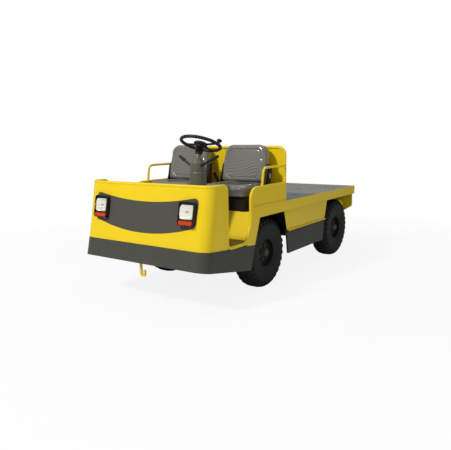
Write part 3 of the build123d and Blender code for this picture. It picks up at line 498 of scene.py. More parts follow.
def grey_vinyl():
    """Grey vinyl with leather grain, fine creases and a soft shine."""
    vinyl = Shader("seat_vinyl", (0.165, 0.164, 0.152), 0.4, coat=0.8,
                   coat_roughness=0.1, specular=0.35)
    cloud = vinyl.noise(7, 4)
    crease = vinyl.noise(14, 4, 0.55, (0.35, 1, 2.2))
    grain = vinyl.cells(620)
    vinyl.tint(cloud * 0.3, (0.21, 0.205, 0.185))
    vinyl.set("Roughness", cloud * 0.2 + 0.3)
    vinyl.bump(crease + grain * 0.10, 0.32, 0.0026)
    return vinyl.material


weft_rate = 2400.0


def webbing():
    """Woven black belt, its rows of weft across it."""
    belt = Shader("belt_webbing", (0.014, 0.014, 0.013), 0.7, specular=0.2)
    spread = belt.spread()
    weft = (spread["Z"] * weft_rate + spread["Y"] * weft_rate).math("SINE")
    belt.tint(belt.noise(90, 3) * 0.3, (0.05, 0.048, 0.042))
    belt.bump(weft, 0.35, 0.0005)
    return belt.material


rib_pitch = 0.009


def clear_lens():
    """Clear moulded lamp glass with upright ribs."""
    glass = Shader("lamp_glass", (0.96, 0.94, 0.88), 0.03)
    glass.set("Transmission Weight", 1.0)
    glass.set("IOR", 1.2)
    ribs = (glass.spread()["X"] * (2 * np.pi / rib_pitch)).math("SINE")
    glass.bump(ribs, 0.25, 0.001)
    return glass.material


def mirror_bowl():
    """Vacuum-plated lamp reflector."""
    bowl = Shader("lamp_reflector", (0.92, 0.93, 0.94), 0.25, metallic=0.6, specular=0.6)
    bowl.bump(bowl.cells(110), 0.25, 0.002)
    return bowl.material


prism_rate = 900.0


def lens_plastic(name, colour):
    """Coloured reflector plastic with a fine prism grid."""
    plastic = Shader(name, colour, 0.25, coat=0.12, coat_roughness=0.06, specular=0.2)
    spread = plastic.spread()
    prism = (spread["X"] * prism_rate).math("SINE") * (spread["Z"] * prism_rate).math("SINE")
    plastic.tint(plastic.noise(30, 3) * 0.3 + prism * 0.1, shade(colour, 0.5))
    plastic.bump(prism, 0.3, 0.0006)
    return plastic.material


def cast_iron():
    """Sand-cast surface of the motor, sprayed dark grey."""
    casting = Shader("motor_casting", (0.06, 0.062, 0.065), 0.6)
    casting.tint(casting.noise(11, 5) * 0.5, (0.1, 0.085, 0.07))
    casting.bump(casting.noise(130, 4), 0.5, 0.0012)
    return casting.material


finishes = {
    "yellow_paint": yellow_enamel(),
    "dark_mask": mask_plastic(),
    "grey_bumper": grey_coating(),
    "black_plastic": black_plastic(),
    "grey_plastic": console_plastic(),
    "lamp_lens": clear_lens(),
    "amber_lens": lens_plastic("amber_reflector", (0.60, 0.06, 0.012)),
    "red_lens": lens_plastic("red_tail_lens", (0.4, 0.012, 0.01)),
    "yellow_with_painted_shade": yellow_enamel("yellow_over_black", inside=True),
    "webbing": webbing(),
    "button": Shader("buckle_button", (0.45, 0.015, 0.012), 0.35).material,
    "bulb": Shader("lamp_bulb", (0.75, 0.72, 0.66), 0.15, coat=0.8, coat_roughness=0.05).material,
    "bowl": mirror_bowl(),
    "zinc": zinc_bolt(),
    "dark_bolt": zinc_bolt("dark_fixing", (0.10, 0.10, 0.096)),
    "grey_vinyl": grey_vinyl(),
    "black_steel": black_steel(),
    "deck_steel": deck_paint(),
    "cast_motor": cast_iron(),
    "wheel_paint": wheel_enamel(),
    "tyre_rubber": tyre_rubber(),
}
slot_of = {entry["node"]: entry["material_slot"] for entry in frame["record"]["subparts"]}
# Parts whose inward and downward faces are painted black as painted shade
nodes_with_painted_shade = ("deck_frame", "side_panels", "seat_box")
for node, cad_object in frame["nodes"].items():
    cad_object.data.materials.clear()
    finish = "yellow_with_painted_shade" if node in nodes_with_painted_shade else slot_of[node]
    cad_object.data.materials.append(finishes[finish])


def dress(piece, finish, body):
    """Finish a new piece and make it ride on a body."""
    piece.data.materials.append(finish)
    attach(piece, body)
    return piece


def add_piece(name, parts, finish, body, smooth=0.6):
    """Join parts as one new piece, dressed and riding on a body."""
    return dress(link(name, joined(name, parts, smooth)), finishes[finish], body)


# Tyres: a rounded section with staggered shoulder lugs. Bands are (none of it, all of it).

lug_count = 30
lug_depth = 0.013
lug_steps = 14
lug_skew = 0.55
lug_rises = (0.0, 0.10)
lug_falls = (0.56, 0.66)
tread_band = (0.82, 0.87)
groove_band = (0.08, 0.16)
shoulder_band = (0.6, 0.8)
shoulder_notch = 0.09
bead_radius = 0.112
bead_share = 0.79
widest_radius = 0.208
tread_power = 0.62
sidewall_ring_width = 0.004
sidewall_rings = [(0.152, 0.0016), (0.232, 0.0012)]  # radius, height


def tyre_section():
    """(x, radius) up one sidewall, over the tread and down the other, as a closed loop.

    Below the widest point x eases out from the bead, which covers the rim's flange. Above it
    the section is a superellipse: x = half * cos(t)^power and
    radius = widest + (tyre radius - widest) * sin(t)^power.
    Two low rings stand on the sidewall.
    """
    bead_x = tyre_half * bead_share
    rise = np.linspace(bead_radius, widest_radius, 16)[:-1]
    eased = np.sin(np.linspace(0, np.pi / 2, 16)[:-1])
    lower = np.stack([bead_x + (tyre_half - bead_x) * eased, rise], axis=1)
    t = np.linspace(0, np.pi / 2, 30)
    upper = np.stack([
        tyre_half * np.cos(t).clip(0) ** tread_power,
        widest_radius + (tyre_radius - widest_radius) * np.sin(t) ** tread_power,
    ], axis=1)[:-1]
    side = np.concatenate([lower, upper])
    for radius, height in sidewall_rings:
        side[:, 0] += height * np.exp(-((side[:, 1] - radius) / sidewall_ring_width) ** 2)
    crown = [[0, tyre_radius]]
    foot_x, foot_radius = bead_x - 0.003, rim_seat_radius - 0.004
    foot = [[-foot_x, foot_radius], [foot_x, foot_radius]]
    return np.concatenate([side, crown, side[::-1] * (-1, 1), foot])


def tyre_points(centre_x, centre_y, turn):
    """The section carried round the axle, its lugs standing between sunken grooves.

    The phase of a point is its angle in lugs, skewed by the distance from the middle and
    shifted half a lug between the sides. Between lugs the radius is less by lug_depth.
    """
    x, radius = tyre_section().T
    angle = np.linspace(0, 2 * np.pi, lug_count * lug_steps, endpoint=False)[:, None]
    out = np.abs(x) / tyre_half
    side_shift = np.where(x > 0, 0.0, 0.5)
    phase = (angle / (2 * np.pi) * lug_count + side_shift + lug_skew * out) % 1.0
    lug = smoothstep(*lug_rises, phase) * (1 - smoothstep(*lug_falls, phase))
    on_tread = smoothstep(*(tyre_radius * share for share in tread_band), radius)
    groove = (1 - lug) * smoothstep(*groove_band, out) * on_tread
    lowered = radius - lug_depth * groove
    wide = centre_x + x * (1 - shoulder_notch * groove * smoothstep(*shoulder_band, out))
    y = centre_y + np.sin(angle + turn) * lowered
    z = hub_z + np.cos(angle + turn) * lowered
    return np.stack([np.broadcast_to(wide, y.shape), y, z], axis=2)


nut_circle = 0.062
nut_count = 6
first_nut = 0.3
disc_face = 0.0312
washer_top = disc_face + 0.0025
washer_radius = 0.0125
nut_radius = 0.0095
cap_edge = 0.066
cap_dome = 0.016
cap_radius = 0.030
tyre_turn = 0.1


def wheel_nuts(centre_x, centre_y, outward):
    """A ring of hexagonal nuts with washers on the wheel's disc."""
    washer = [(disc_face, 0.0), (disc_face, washer_radius), (washer_top, washer_radius),
              (washer_top, 0.0)]
    nut = [(washer_top, 0.0), (washer_top, nut_radius), (disc_face + 0.012, nut_radius),
           (disc_face + 0.0135, 0.006), (disc_face + 0.0135, 0.0)]
    parts = []
    for number in range(nut_count):
        angle = 2 * np.pi * number / nut_count + first_nut
        y, z = centre_y + nut_circle * np.sin(angle), hub_z + nut_circle * np.cos(angle)
        parts.append(turned(washer, (centre_x, y, z), outward, 20))
        parts.append(turned(nut, (centre_x, y, z), outward, 6, number * 0.7))
    return parts


def hub_cap(centre_x, centre_y, outward):
    """A hollow pressed cap over the hub's end, with a rolled foot and a domed face.

    The face is along = edge + dome * cos(t), radius = cap radius * sin(t)^0.8.
    """
    t = np.linspace(0, np.pi / 2, 9)
    dome = np.stack([cap_edge + cap_dome * np.cos(t), cap_radius * np.sin(t) ** 0.8], axis=1)
    foot = [(cap_edge, 0.0335), (0.048, 0.0345), (0.046, 0.037), (0.042, 0.037)]
    inner = [(0.042, 0.0325), (0.064, 0.031), (0.072, 0.024), (0.074, 0.0)]
    return turned(np.concatenate([dome, foot, inner]), (centre_x, centre_y, hub_z), outward, 40)


for end, axle_y in (("front", front_axle_y), ("rear", rear_axle_y)):
    for side, sign in (("left", 1), ("right", -1)):
        place = (sign * wheel_x, axle_y)
        outward = (sign, 0, 0)
        body = f"wheel_{end}_{side}"
        name = f"{end}_{side}_tyre_casing"
        points = tyre_points(*place, tyre_turn * sign)
        casing = link(name, surface(name, points, True, True, smooth=0.5))
        dress(casing, finishes["tyre_rubber"], body)
        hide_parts(f"tyre_{end}_{side}")
        nuts = wheel_nuts(*place, outward)
        add_piece(f"{end}_{side}_wheel_nuts", nuts, "dark_bolt", body, 0.5)
        cap = [hub_cap(*place, outward)]
        add_piece(f"{end}_{side}_hub_cap", cap, "dark_mask", body, 0.5)


# Lamps on the raked mask, placed across it, up it and out from it

mask_lean = 0.1885
mask_out = unit((0, -1, mask_lean))
mask_up = unit((0, mask_lean, 1))
mask_spot = np.array([0, front_axle_y - 0.8481, 0.700])
lamp_x = 0.434
hood_rise = 0.018
glass_rise = 0.030
glass_width = 0.124
glass_squat = 0.022
reflector_rise = -0.050
reflector_height = 0.034
reflector_slant = 0.10
hood_rings = [
    # width, height, corner radius, how far out
    (0.143, 0.176, 0.022, 0.002),
    (0.143, 0.176, 0.022, 0.028),
    (0.137, 0.170, 0.020, 0.034),
    (0.128, 0.160, 0.017, 0.034),
    (0.126, 0.158, 0.016, 0.0235),
    (0.134, 0.166, 0.018, 0.0225),
]
# (width, how far out)
glass_rings = [(glass_width, 0.0225), (0.122, 0.0285), (0.117, 0.0325), (0.104, 0.0350),
               (0.060, 0.0365)]
bowl_rings = [(0.122, 0.0215), (0.118, 0.0205), (0.098, 0.0165), (0.066, 0.0140),
              (0.026, 0.0130), (0.026, 0.0115), (0.122, 0.0115)]
# (share of the outline, how far out)
reflector_rings = [(1.0, 0.0225), (1.0, 0.0285), (0.95, 0.0315)]


def on_mask(across, up, out):
    """The point that far across, up and out from the middle of the mask."""
    return mask_spot + np.array([1.0, 0, 0]) * across + mask_up * up + mask_out * out


def rounded_outline(width, height, corner, steps=8):
    """A rectangle with round corners, as (across, up) points."""
    points = []
    for quarter, (side, level) in enumerate(((1, 1), (-1, 1), (-1, -1), (1, -1))):
        for turn in np.linspace(0, np.pi / 2, steps):
            angle = turn + quarter * np.pi / 2
            points.append((side * (width / 2 - corner) + corner * np.cos(angle),
                           level * (height / 2 - corner) + corner * np.sin(angle)))
    return np.array(points)


def lofted(middle, rise, rings, closed=False):
    """A skin over outlines set one over the other: each ring is (outline, how far out).

    With closed the last ring joins the first, and otherwise both ends are filled.
    """
    points = np.array([
        [on_mask(middle + across, rise + up, out) for across, up in outline]
        for outline, out in rings
    ])
    return points, tube_faces(*points.shape[:2], closed)


def lamp_hood(middle):
    """A moulded frame round the lens that stands proud of the housing."""
    rings = [(rounded_outline(width, height, corner), out)
             for width, height, corner, out in hood_rings]
    return lofted(middle, hood_rise, rings, closed=True)


def lamp_glass(middle):
    """A cushion-shaped glass over the bowl, its face rounded off into the frame."""
    rings = [(rounded_outline(width, width - glass_squat, 0.018 * width / glass_width), out)
             for width, out in glass_rings]
    return lofted(middle, glass_rise, rings)


def lamp_bowl(middle):
    """A shallow mirror dish in the housing, a bulb's cap hiding its middle."""
    rings = [(rounded_outline(width, width - glass_squat, 0.22 * width), out)
             for width, out in bowl_rings]
    return lofted(middle, glass_rise, rings, closed=True)


def lamp_bulb(middle):
    """A glass envelope on a short cap."""
    profile = [(0.0, 0.0), (0.0, 0.009), (0.004, 0.009), (0.006, 0.007), (0.010, 0.0075),
               (0.014, 0.006), (0.0165, 0.003), (0.017, 0.0)]
    return turned(profile, on_mask(middle - 0.004, 0.034, 0.0125), mask_out, 20)


def side_reflector(middle):
    """A wedge of prism plastic under the glass, its lower edge slanting with the mask."""
    outline = rounded_outline(glass_width, reflector_height, 0.008)
    low_half = outline[:, 1] < 0
    outline[:, 1] += reflector_slant * np.sign(middle) * outline[:, 0] * low_half
    rings = [(outline * share, out) for share, out in reflector_rings]
    return lofted(middle, reflector_rise, rings)


lamp_pieces = [
    # name, maker, finish, slot, nodes it stands for
    ("lamp_hoods", lamp_hood, "black_plastic", "black_plastic", ()),
    ("lamp_glasses", lamp_glass, "lamp_lens", "lamp_lens", ("headlamp_lenses",)),
    ("lamp_bowls", lamp_bowl, "bowl", "lamp_lens", ()),
    ("lamp_bulbs", lamp_bulb, "bulb", "lamp_lens", ()),
    ("prism_reflectors", side_reflector, "amber_lens", "amber_lens", ("front_reflectors",)),
]
for name, maker, finish, slot, nodes in lamp_pieces:
    piece = add_piece(name, [maker(-lamp_x), maker(lamp_x)], finish, "chassis", 0.5)
    if nodes:
        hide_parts(*nodes)


# Seats: each solid is made a little smaller, blown up as cloth, then sewn

back_lean = np.radians(11)
back_up = np.array([0, np.sin(back_lean), np.cos(back_lean)])
back_out = np.array([0, -np.cos(back_lean), np.sin(back_lean)])
cushion_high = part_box("seat_cushions")[1]
seat_half = 0.222
seat_x = cushion_high[0] - seat_half
back_spot = np.array([seat_x, front_axle_y + 0.028, cushion_high[2] + 0.015])
back_panel = (0.158, 0.115)
back_panel_rise = 0.150
cushion_panel = (0.155, 0.12)
panel_corner = 0.045
seat_shrink = 0.004
seat_overhang = 0.002
seat_voxel = 0.007
back_cap = 0.006
cushion_cap = 0.007
cloth_pressure = 4
cloth_frames = 20
seam_depth, seam_width = 0.0045, 0.005
bolster_height, bolster_place, bolster_width = 0.003, 0.026, 0.018
panel_sink = 0.002
fold_height = 0.0014
back_drop = 0.012


def left_solid(node):
    """The left-hand solid of a mirrored node, as points and faces."""
    source = frame["nodes"][node].data
    points = np.array([vertex.co for vertex in source.vertices])
    faces = [tuple(face.vertices) for face in source.polygons]
    return points, [face for face in faces if points[face[0]][0] > 0]


def points_of(mesh):
    flat = np.empty(len(mesh.vertices) * 3, np.float32)
    mesh.vertices.foreach_get("co", flat)
    return flat.reshape(-1, 3).astype(float)


def place_points(mesh, points):
    mesh.vertices.foreach_set("co", np.asarray(points, np.float32).ravel())
    mesh.update()


def settled(piece):
    """Apply a piece's modifiers and return its points."""
    shown = piece.evaluated_get(bpy.context.evaluated_depsgraph_get())
    made = bpy.data.meshes.new_from_object(shown)
    piece.modifiers.clear()
    piece.data = made
    return points_of(made)


def stuffed(name, node, cap):
    """A seat's solid, made smaller, filled with air as a cloth bag, and held within cap.

    Returns the pad and the two corners of the solid's box.
    """
    points, faces = left_solid(node)
    used = points[sorted({index for face in faces for index in face})]
    low, high = used.min(axis=0), used.max(axis=0)
    middle = (low + high) / 2
    scale = 1 - 2 * seat_shrink / (high - low)
    pad = link(name, mesh_from(name, middle + (points - middle) * scale, faces))
    remesh = pad.modifiers.new("voxels", "REMESH")
    remesh.mode = "VOXEL"
    remesh.voxel_size = seat_voxel
    start = settled(pad)
    cloth = pad.modifiers.new("cloth", "CLOTH")
    cloth.settings.use_pressure = True
    cloth.settings.uniform_pressure_force = cloth_pressure
    cloth.settings.effector_weights.gravity = 0
    cloth.point_cache.frame_end = cloth_frames
    for number in range(1, cloth_frames + 1):
        scene.frame_set(number)
    blown = settled(pad)
    scene.frame_set(1)
    step = blown - start
    length = np.linalg.norm(step, axis=1, keepdims=True)
    step *= np.minimum(1, cap / np.maximum(length, 1e-9))
    place_points(pad.data, np.clip(start + step, low - seat_overhang, high + seat_overhang))
    return pad, low, high


def finer(pad):
    """One level of subdivision, applied."""
    subdivision = pad.modifiers.new("subdivision", "SUBSURF")
    subdivision.levels = subdivision.render_levels = 1
    return settled(pad)


def panel_distance(u, v, half_u, half_v):
    """Distance outside a rectangle with round corners, negative inside it."""
    off_u = np.abs(u) - half_u + panel_corner
    off_v = np.abs(v) - half_v + panel_corner
    outside = np.hypot(np.maximum(off_u, 0), np.maximum(off_v, 0))
    return outside + np.minimum(np.maximum(off_u, off_v), 0) - panel_corner


def bell(distance, width):
    """exp(-(distance / width)^2)."""
    return np.exp(-((distance / width) ** 2))


def sewn(u, v, face, panel, fold):
    """How far the cover stands out: a sewn seam, a sunk panel with slanting folds, a bolster.

    face is 1 on the side that is sewn, and fold is the folds' phase at each point, in turns.
    """
    distance = panel_distance(u, v, *panel)
    inside = smoothstep(0.004, -0.022, distance)
    seam = -seam_depth * bell(distance, seam_width)
    bolster = bolster_height * bell(distance - bolster_place, bolster_width)
    strength = smoothstep(0.07, -0.02, v) * (0.55 + 0.45 * np.sin(23 * u + 31 * v + 1.0))
    folds = fold_height * inside * strength * np.sin(2 * np.pi * fold)
    return face * (seam + bolster - panel_sink * inside + folds)


def back_folds(u, v):
    """Phase of folds 26 mm apart that slant down from the left, waved along their length."""
    return v / 0.026 - 1.6 * u / 0.2 + 0.25 * np.sin(19 * u + 2) + 0.1 * np.sin(53 * u)


def cushion_folds(u, v):
    """Phase of folds 75 mm apart that run front to rear, a little aslant and waved."""
    return u / 0.075 + 0.5 * v / 0.2 + 0.25 * np.sin(17 * v + 1)


seat_back = stuffed("seat_back_left", "seat_backs", back_cap)[0]
points = finer(seat_back)
local = points - back_spot
u, v, w = local[:, 0], local @ back_up, local @ back_out
v_panel = v - back_panel_rise
face = smoothstep(-0.030, -0.012, w)
out = sewn(u, v_panel, face, back_panel, back_folds(u, v_panel))
drop = back_drop * smoothstep(0.08, 0.0, v)
place_points(seat_back.data, points + out[:, None] * back_out - drop[:, None] * back_up)

seat_cushion, low, high = stuffed("seat_cushion_left", "seat_cushions", cushion_cap)
points = finer(seat_cushion)
cushion_middle = (low + high) / 2
u, v = points[:, 0] - cushion_middle[0], points[:, 1] - cushion_middle[1]
face = smoothstep(high[2] - 0.03, high[2] - 0.012, points[:, 2])
out = sewn(u, v, face, cushion_panel, cushion_folds(u, v))
place_points(seat_cushion.data, points + out[:, None] * (0, 0, 1))

for left, node in ((seat_back, "seat_backs"), (seat_cushion, "seat_cushions")):
    shade_smooth(left.data, 1.0)
    name = left.name.replace("left", "right")
    right = link(name, left.data.copy())
    right.data.name = name
    place_points(right.data, points_of(right.data) - (2 * seat_x, 0, 0))
    for piece in (left, right):
        dress(piece, finishes["grey_vinyl"], "chassis")
        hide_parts(node)


# Steering wheel with a ball knob, the boot under it, and the grips of the stalks

joint_of = {joint["name"]: joint for joint in frame["record"]["behaviour"]["joints"]}
wheel_spot = np.array(joint_of["steering_wheel_turn"]["pos_m"], float)
wheel_axis = unit(joint_of["steering_wheel_turn"]["axis"])
wheel_right = np.array([1.0, 0, 0])
wheel_rear = np.cross(wheel_axis, wheel_right)
rim_mid = 0.152
rim_tube = 0.013
rim_steps = 240
tube_steps = 20
finger_depth = 0.0012
finger_count = 40
knob_angle = np.radians(10)
stalk_drop = 0.178
boot_folds = 4
stalk_reaches = [(-1, 0.114), (1, 0.167)]  # side, how far the tip lies beyond the root
# (share of the stalk's length, radius)
grip_sections = [(0.52, 0.0092), (0.56, 0.0118), (0.94, 0.0118), (1.0, 0.0085)]
# (along, radius) of the hub from its foot up, and of the knob from the rim up
hub_profile = [(-0.029, 0.0), (-0.029, 0.029), (-0.012, 0.031), (-0.011, 0.050), (-0.004, 0.054),
               (0.003, 0.053), (0.009, 0.046), (0.011, 0.030), (0.0105, 0.021), (0.0135, 0.0195),
               (0.0155, 0.012), (0.016, 0.0)]
knob_profile = [(0.0, 0.0), (0.0, 0.0075), (0.014, 0.0075), (0.017, 0.014), (0.021, 0.019),
                (0.027, 0.0205), (0.033, 0.0185), (0.038, 0.012), (0.0395, 0.0)]


def on_wheel(angle, radius, above=0.0):
    """A point of the steering wheel, by its turn from the right, radius and height."""
    spoke = np.cos(angle) * wheel_right + np.sin(angle) * wheel_rear
    return wheel_spot + radius * spoke + above * wheel_axis


def wheel_rim():
    """A torus, its tube thinner by up to finger_depth in waves along the underside."""
    angle = np.linspace(0, 2 * np.pi, rim_steps, endpoint=False)[:, None]
    round_tube = np.linspace(0, 2 * np.pi, tube_steps, endpoint=False)[None, :]
    under = np.clip(-np.sin(round_tube), 0, 1)
    tube = rim_tube - finger_depth * under * (0.5 + 0.5 * np.cos(angle * finger_count))
    radius = rim_mid + tube * np.cos(round_tube)
    above = tube * np.sin(round_tube)
    points = on_wheel(angle[..., None], radius[..., None], above[..., None])
    return points, grid_faces(rim_steps, tube_steps, True, True).tolist()


def wheel_spokes():
    """Three flat arms, one each side and one to the rear, dished down to the hub."""
    arms = []
    for angle in (0, np.pi / 2, np.pi):
        line = [on_wheel(angle, 0.03, -0.008), on_wheel(angle, 0.09, -0.005),
                on_wheel(angle, 0.15)]
        path = curve(line, 8)
        across = np.cross(wheel_axis, path[-1] - path[0])
        arms.append(swept(ring(0.0155, 14, 0.42), path, across))
    return arms


def column_boot():
    """A rubber boot that widens down the column in folds."""
    profile = [(0.034, 0.0), (0.034, 0.025)]
    for fold in range(boot_folds):
        profile += [(0.038 + 0.011 * fold, 0.031), (0.0435 + 0.011 * fold, 0.024)]
    profile += [(0.086, 0.026), (0.090, 0.0)]
    return turned(profile, wheel_spot, -wheel_axis, 32)


def stalk_grip(side, reach):
    """A moulded grip on a stalk's outer half: a unit tube, each of its rings scaled."""
    root = wheel_spot - stalk_drop * wheel_axis + (side * 0.045, 0, 0)
    arm = np.array([side * reach, 0, 0.075])
    share, radius = np.array(grip_sections).T
    path = root + arm * share[:, None]
    points, faces = swept(ring(1.0, 14), path, (0, 1, 0))
    return path[:, None] + (points - path[:, None]) * radius[:, None, None], faces


steering_cover = add_piece("steering_wheel_cover", [
    wheel_rim(),
    *wheel_spokes(),
    turned(hub_profile, wheel_spot, wheel_axis, 40),
    turned(knob_profile, on_wheel(knob_angle, rim_mid, 0.006), wheel_axis, 28),
], "black_plastic", "steering_wheel")
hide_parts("steering_wheel")
controls = [column_boot()] + [stalk_grip(*stalk) for stalk in stalk_reaches]
add_piece("boot_and_grips", controls, "black_plastic", "chassis")


# Cab: rubber mat, seat belts and ridges on the quarter panels

mat_corners = ((-0.594, -1.20, 0.4501), (0.594, -0.75, 0.4535))
add_piece("floor_mat", [block(*mat_corners)], "black_plastic", "chassis")

buckle_gap = 0.026
reel_gap = 0.020
strap_width = 0.044
# (y, z) up the buckle's stem and down the strap
stem_route = [(-0.345, 0.74), (-0.350, 0.80), (-0.385, 0.86), (-0.420, 0.91)]
strap_route = [(-0.318, 1.006), (-0.330, 0.96), (-0.350, 0.86), (-0.362, 0.78), (-0.365, 0.70)]
belt_pieces = [
    # name, finish, slot
    ("belt_straps", "webbing", "black_plastic"),
    ("belt_buckles", "black_plastic", "black_plastic"),
    ("belt_tongues", "zinc", "black_steel"),
    ("belt_buttons", "button", "red_lens"),
]


def seat_belt(seat_middle):
    """One seat's belt: a buckle on a stem inboard, a hanging strap and its reel outboard.

    Returns the parts of each piece in the order of belt_pieces.
    """
    outside = np.sign(seat_middle)
    inner = seat_middle - outside * (seat_half + buckle_gap)
    outer = seat_middle + outside * (seat_half + reel_gap)
    stem = curve([(inner, y, z) for y, z in stem_route], 8)
    strap = curve([(outer, y, z) for y, z in strap_route], 10)
    head = stem[-1]
    tilt = unit(stem[-1] - stem[-3])
    case = [head + tilt * along for along in (-0.012, -0.006, 0.046, 0.052)]
    section = ring(1.0, 16) * (0.009, 0.019)
    button = [case[-1] - tilt * 0.002, case[-1] + tilt * 0.003]
    straps = [swept(band(0.004, 0.026), stem, (1, 0, 0)),
              swept(band(0.003, strap_width), strap, (1, 0, 0))]
    buckles = [swept(section, case, (1, 0, 0)),
               block((outer - 0.012, -0.398, 0.662), (outer + 0.012, -0.332, 0.725))]
    tongues = [block((outer - 0.0045, -0.352, 0.905), (outer + 0.0045, -0.330, 0.945)),
               turned([(0, 0), (0, 0.009), (0.006, 0.0085), (0.007, 0)],
                      (outer + outside * 0.002, -0.320, 0.998), (outside, 0, 0), 6)]
    return straps, buckles, tongues, [swept(section * 0.7, button, (1, 0, 0))]


belt_parts = zip(seat_belt(-seat_x), seat_belt(seat_x))
for (name, finish, slot), (right_parts, left_parts) in zip(belt_pieces, belt_parts):
    add_piece(name, right_parts + left_parts, finish, "chassis")

ridge_x = 0.6240
ridge_z = 0.711
ridge_radius = 0.0072
ridge_line = np.array([(0.0, y, ridge_z) for y in (-0.700, -0.45, -0.218)])
ridges = [swept(ring(ridge_radius, 12), ridge_line + (side * ridge_x, 0, 0), (1, 0, 0))
          for side in (-1, 1)]
add_piece("quarter_ridges", ridges, "yellow_paint", "chassis", 0.8)


# Fixings: bolt heads on the tail, deck screws, axle bolts and motor fins

tail_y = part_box("tail_apron")[1][1]
deck_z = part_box("deck_plates")[1][2]
tail_bolts = [(0.30, 0.600), (0.60, 0.600), (0.14, 0.425), (0.40, 0.425)]  # x, z
screw_rows = (-0.15, 0.13, 0.405, 0.465, 0.65, 0.835, 0.895, 1.09, 1.28)
screw_columns = (0.10, 0.34, 0.585)
spring_x = 0.215
axle_bolt_ahead = 0.045
axle_bolt_half = 0.032
axle_bolt_radius = 0.006
axle_nut_z = 0.335
fin_count = 14
fin_pitch = 0.0145
fin_height = 0.005


def bolt(spot, way, size=0.008):
    """A hexagonal head on a washer."""
    washer = [(-0.001, 0.0), (-0.001, 1.5 * size), (0.0015, 1.5 * size), (0.0015, 0.0)]
    head = [(0.0015, 0.0), (0.0015, size), (0.0055, size), (0.0068, 0.7 * size), (0.0068, 0.0)]
    return [turned(washer, spot, way, 14), turned(head, spot, way, 6)]


def screw(spot, way, size=0.0075):
    """A domed head, nearly flush."""
    profile = [(-0.001, 0.0), (-0.001, size), (0.0006, 0.9 * size), (0.0015, 0.4 * size),
               (0.0016, 0.0)]
    return [turned(profile, spot, way, 14)]


def axle_bolt(x, y):
    """A U-bolt round the spring, open at the top, with a nut on each leg."""
    leg, bend = axle_bolt_half, axle_bolt_half - 0.001
    corners = [(x - leg, y, 0.352), (x - leg, y, 0.240), (x - bend, y, 0.222),
               (x - 0.024, y, 0.215), (x + 0.024, y, 0.215), (x + bend, y, 0.222),
               (x + leg, y, 0.240), (x + leg, y, 0.352)]
    parts = [swept(ring(axle_bolt_radius, 10), corners, (0, 1, 0))]
    nut = [(0, 0), (0, 0.010), (0.010, 0.010), (0.010, 0)]
    for edge in (-leg, leg):
        parts.append(turned(nut, (x + edge, y, axle_nut_z), (0, 0, 1), 6))
    return parts


def motor_cover():
    """The motor's casing with a row of cooling fins, and its terminal box."""
    low, high = (np.array(corner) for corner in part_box("drive_motor"))
    middle = (low + high) / 2
    radius = (high[0] - low[0]) / 2
    fins = [(-0.125, radius - 0.01)]
    for number in range(fin_count):
        along = -0.10 + number * fin_pitch
        fins += [(along, radius - 0.002), (along + 0.001, radius + fin_height),
                 (along + 0.004, radius + fin_height), (along + 0.005, radius - 0.002)]
    fins += [(0.115, radius - 0.01)]
    terminal_box = block(middle + (-0.045, -0.06, radius - 0.004),
                         middle + (0.045, 0.03, radius + 0.028))
    return [turned(fins, middle, (0, 1, 0), 48), terminal_box]


body_bolts, deck_screws, axle_bolts = [], [], []
for side in (-1, 1):
    for x, z in tail_bolts:
        body_bolts += bolt((side * x, tail_y, z), (0, 1, 0))
    for y in screw_rows:
        for x in screw_columns:
            deck_screws += screw((side * x, y, deck_z), (0, 0, 1))
for axle_y in (front_axle_y, rear_axle_y):
    for x in (-spring_x, spring_x):
        for y in (axle_y - axle_bolt_ahead, axle_y + axle_bolt_ahead):
            axle_bolts += axle_bolt(x, y)
add_piece("body_fixings", body_bolts, "dark_bolt", "chassis", 0.5)
add_piece("deck_screws", deck_screws, "dark_bolt", "chassis", 0.5)
add_piece("axle_bolts", axle_bolts, "black_steel", "chassis")
add_piece("motor_fins", motor_cover(), "cast_motor", "chassis")


# Floor, light and camera

floor_size = 60
sky_strength = 0.27
sky_colour = (0.95, 0.97, 1.0, 1)
lights = [
    # name, place, aim, size, power, colour
    ("key", (-1.6, -6.6, 6.2), (0, -0.6, 0.6), 0.8, 505, (1.0, 0.97, 0.92)),
    ("fill", (5.0, -2.2, 2.6), (0, 0, 0.6), 3.0, 26, (1, 1, 1)),
    ("top", (0.5, 0.5, 5.5), (0, 0, 0.5), 4.0, 62, (1, 1, 1)),
]
camera_place = np.array([2.657, -3.951, 1.230])
camera_yaw, camera_pitch, camera_roll = 0.618, 0.169, -0.016
camera_lens = 40.27


def looking(place, aim, roll=0.0):
    """The matrix of a lamp or camera at place that looks at aim, turned by roll."""
    ahead = (aim - place) / np.linalg.norm(aim - place)
    right = np.cross(ahead, (0, 0, 1))
    right /= np.linalg.norm(right)
    up = np.cross(right, ahead)
    turned_right = right * np.cos(roll) + up * np.sin(roll)
    turned_up = up * np.cos(roll) - right * np.sin(roll)
    columns = np.stack([turned_right, turned_up, -ahead, place], axis=1)
    return mathutils.Matrix(np.vstack([columns, (0, 0, 0, 1)]).tolist())


def area_light(name, place, aim, size, power, colour):
    """A square soft light at place that faces aim."""
    lamp = bpy.data.lights.new(name, "AREA")
    lamp.size = size
    lamp.energy = power
    lamp.color = colour
    link(name, lamp).matrix_world = looking(np.array(place, float), np.array(aim, float))


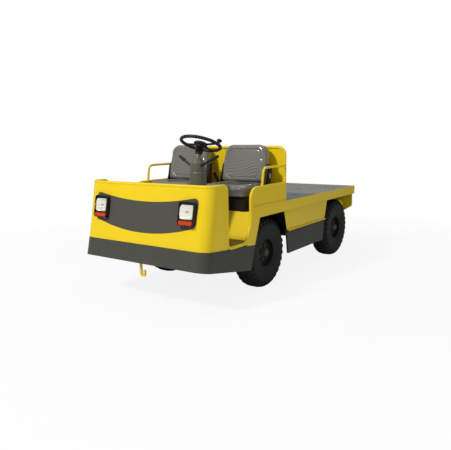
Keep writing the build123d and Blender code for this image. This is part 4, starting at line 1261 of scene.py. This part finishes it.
def white_floor():
    """Pale paint that the camera sees as white, its shadows kept near the vehicle."""
    paint = Shader("floor_white", (0.8, 0.8, 0.8), 0.9, specular=0.0)
    spread = paint.spread()
    distance = (spread["X"] * spread["X"] + spread["Y"] * spread["Y"]).math("SQRT")
    far = paint.node("ShaderNodeMapRange", {"interpolation_type": "SMOOTHSTEP"}, {
        "Value": distance, "From Min": 1.6, "From Max": 4.5, "To Min": 0.88, "To Max": 1.0,
    })["Result"]
    blend = paint.node("ShaderNodeMixShader", {}, {
        "Fac": far * paint.seen(),
        1: Field(paint, paint.surface.outputs["BSDF"]),
        2: paint.node("ShaderNodeEmission")["Emission"],
    })["Shader"]
    output = paint.tree.nodes["Material Output"]
    paint.tree.links.new(blend.socket, output.inputs["Surface"])
    return paint.material


def studio_world():
    """A soft sky that lights the vehicle, and plain white to the camera and through glass."""
    world = bpy.data.worlds.new("studio")
    world.use_nodes = True
    world.node_tree.nodes.clear()
    sky = Nodes(world.node_tree)
    soft = sky.node("ShaderNodeBackground", {}, {"Color": sky_colour, "Strength": sky_strength})
    white = sky.node("ShaderNodeBackground", {}, {"Color": (1, 1, 1, 1), "Strength": 1.0})
    choice = sky.node("ShaderNodeMixShader", {}, {
        "Fac": sky.seen(), 1: soft["Background"], 2: white["Background"],
    })
    sky.node("ShaderNodeOutputWorld", {}, {"Surface": choice["Shader"]})
    return world


floor_points = np.array([
    [[x, y, 0.0] for y in (-floor_size, floor_size)] for x in (-floor_size, floor_size)
])
floor = link("floor", surface("floor", floor_points))
floor.data.materials.append(white_floor())
scene.world = studio_world()
for light in lights:
    area_light(*light)

camera_ahead = np.array([
    -np.sin(camera_yaw) * np.cos(camera_pitch),
    np.cos(camera_yaw) * np.cos(camera_pitch),
    -np.sin(camera_pitch),
])
camera_data = bpy.data.cameras.new("camera")
camera_data.lens = camera_lens
camera = link("camera", camera_data)
camera.matrix_world = looking(camera_place, camera_place + camera_ahead, camera_roll)
scene.camera = camera
scene.view_settings.view_transform = "Standard"
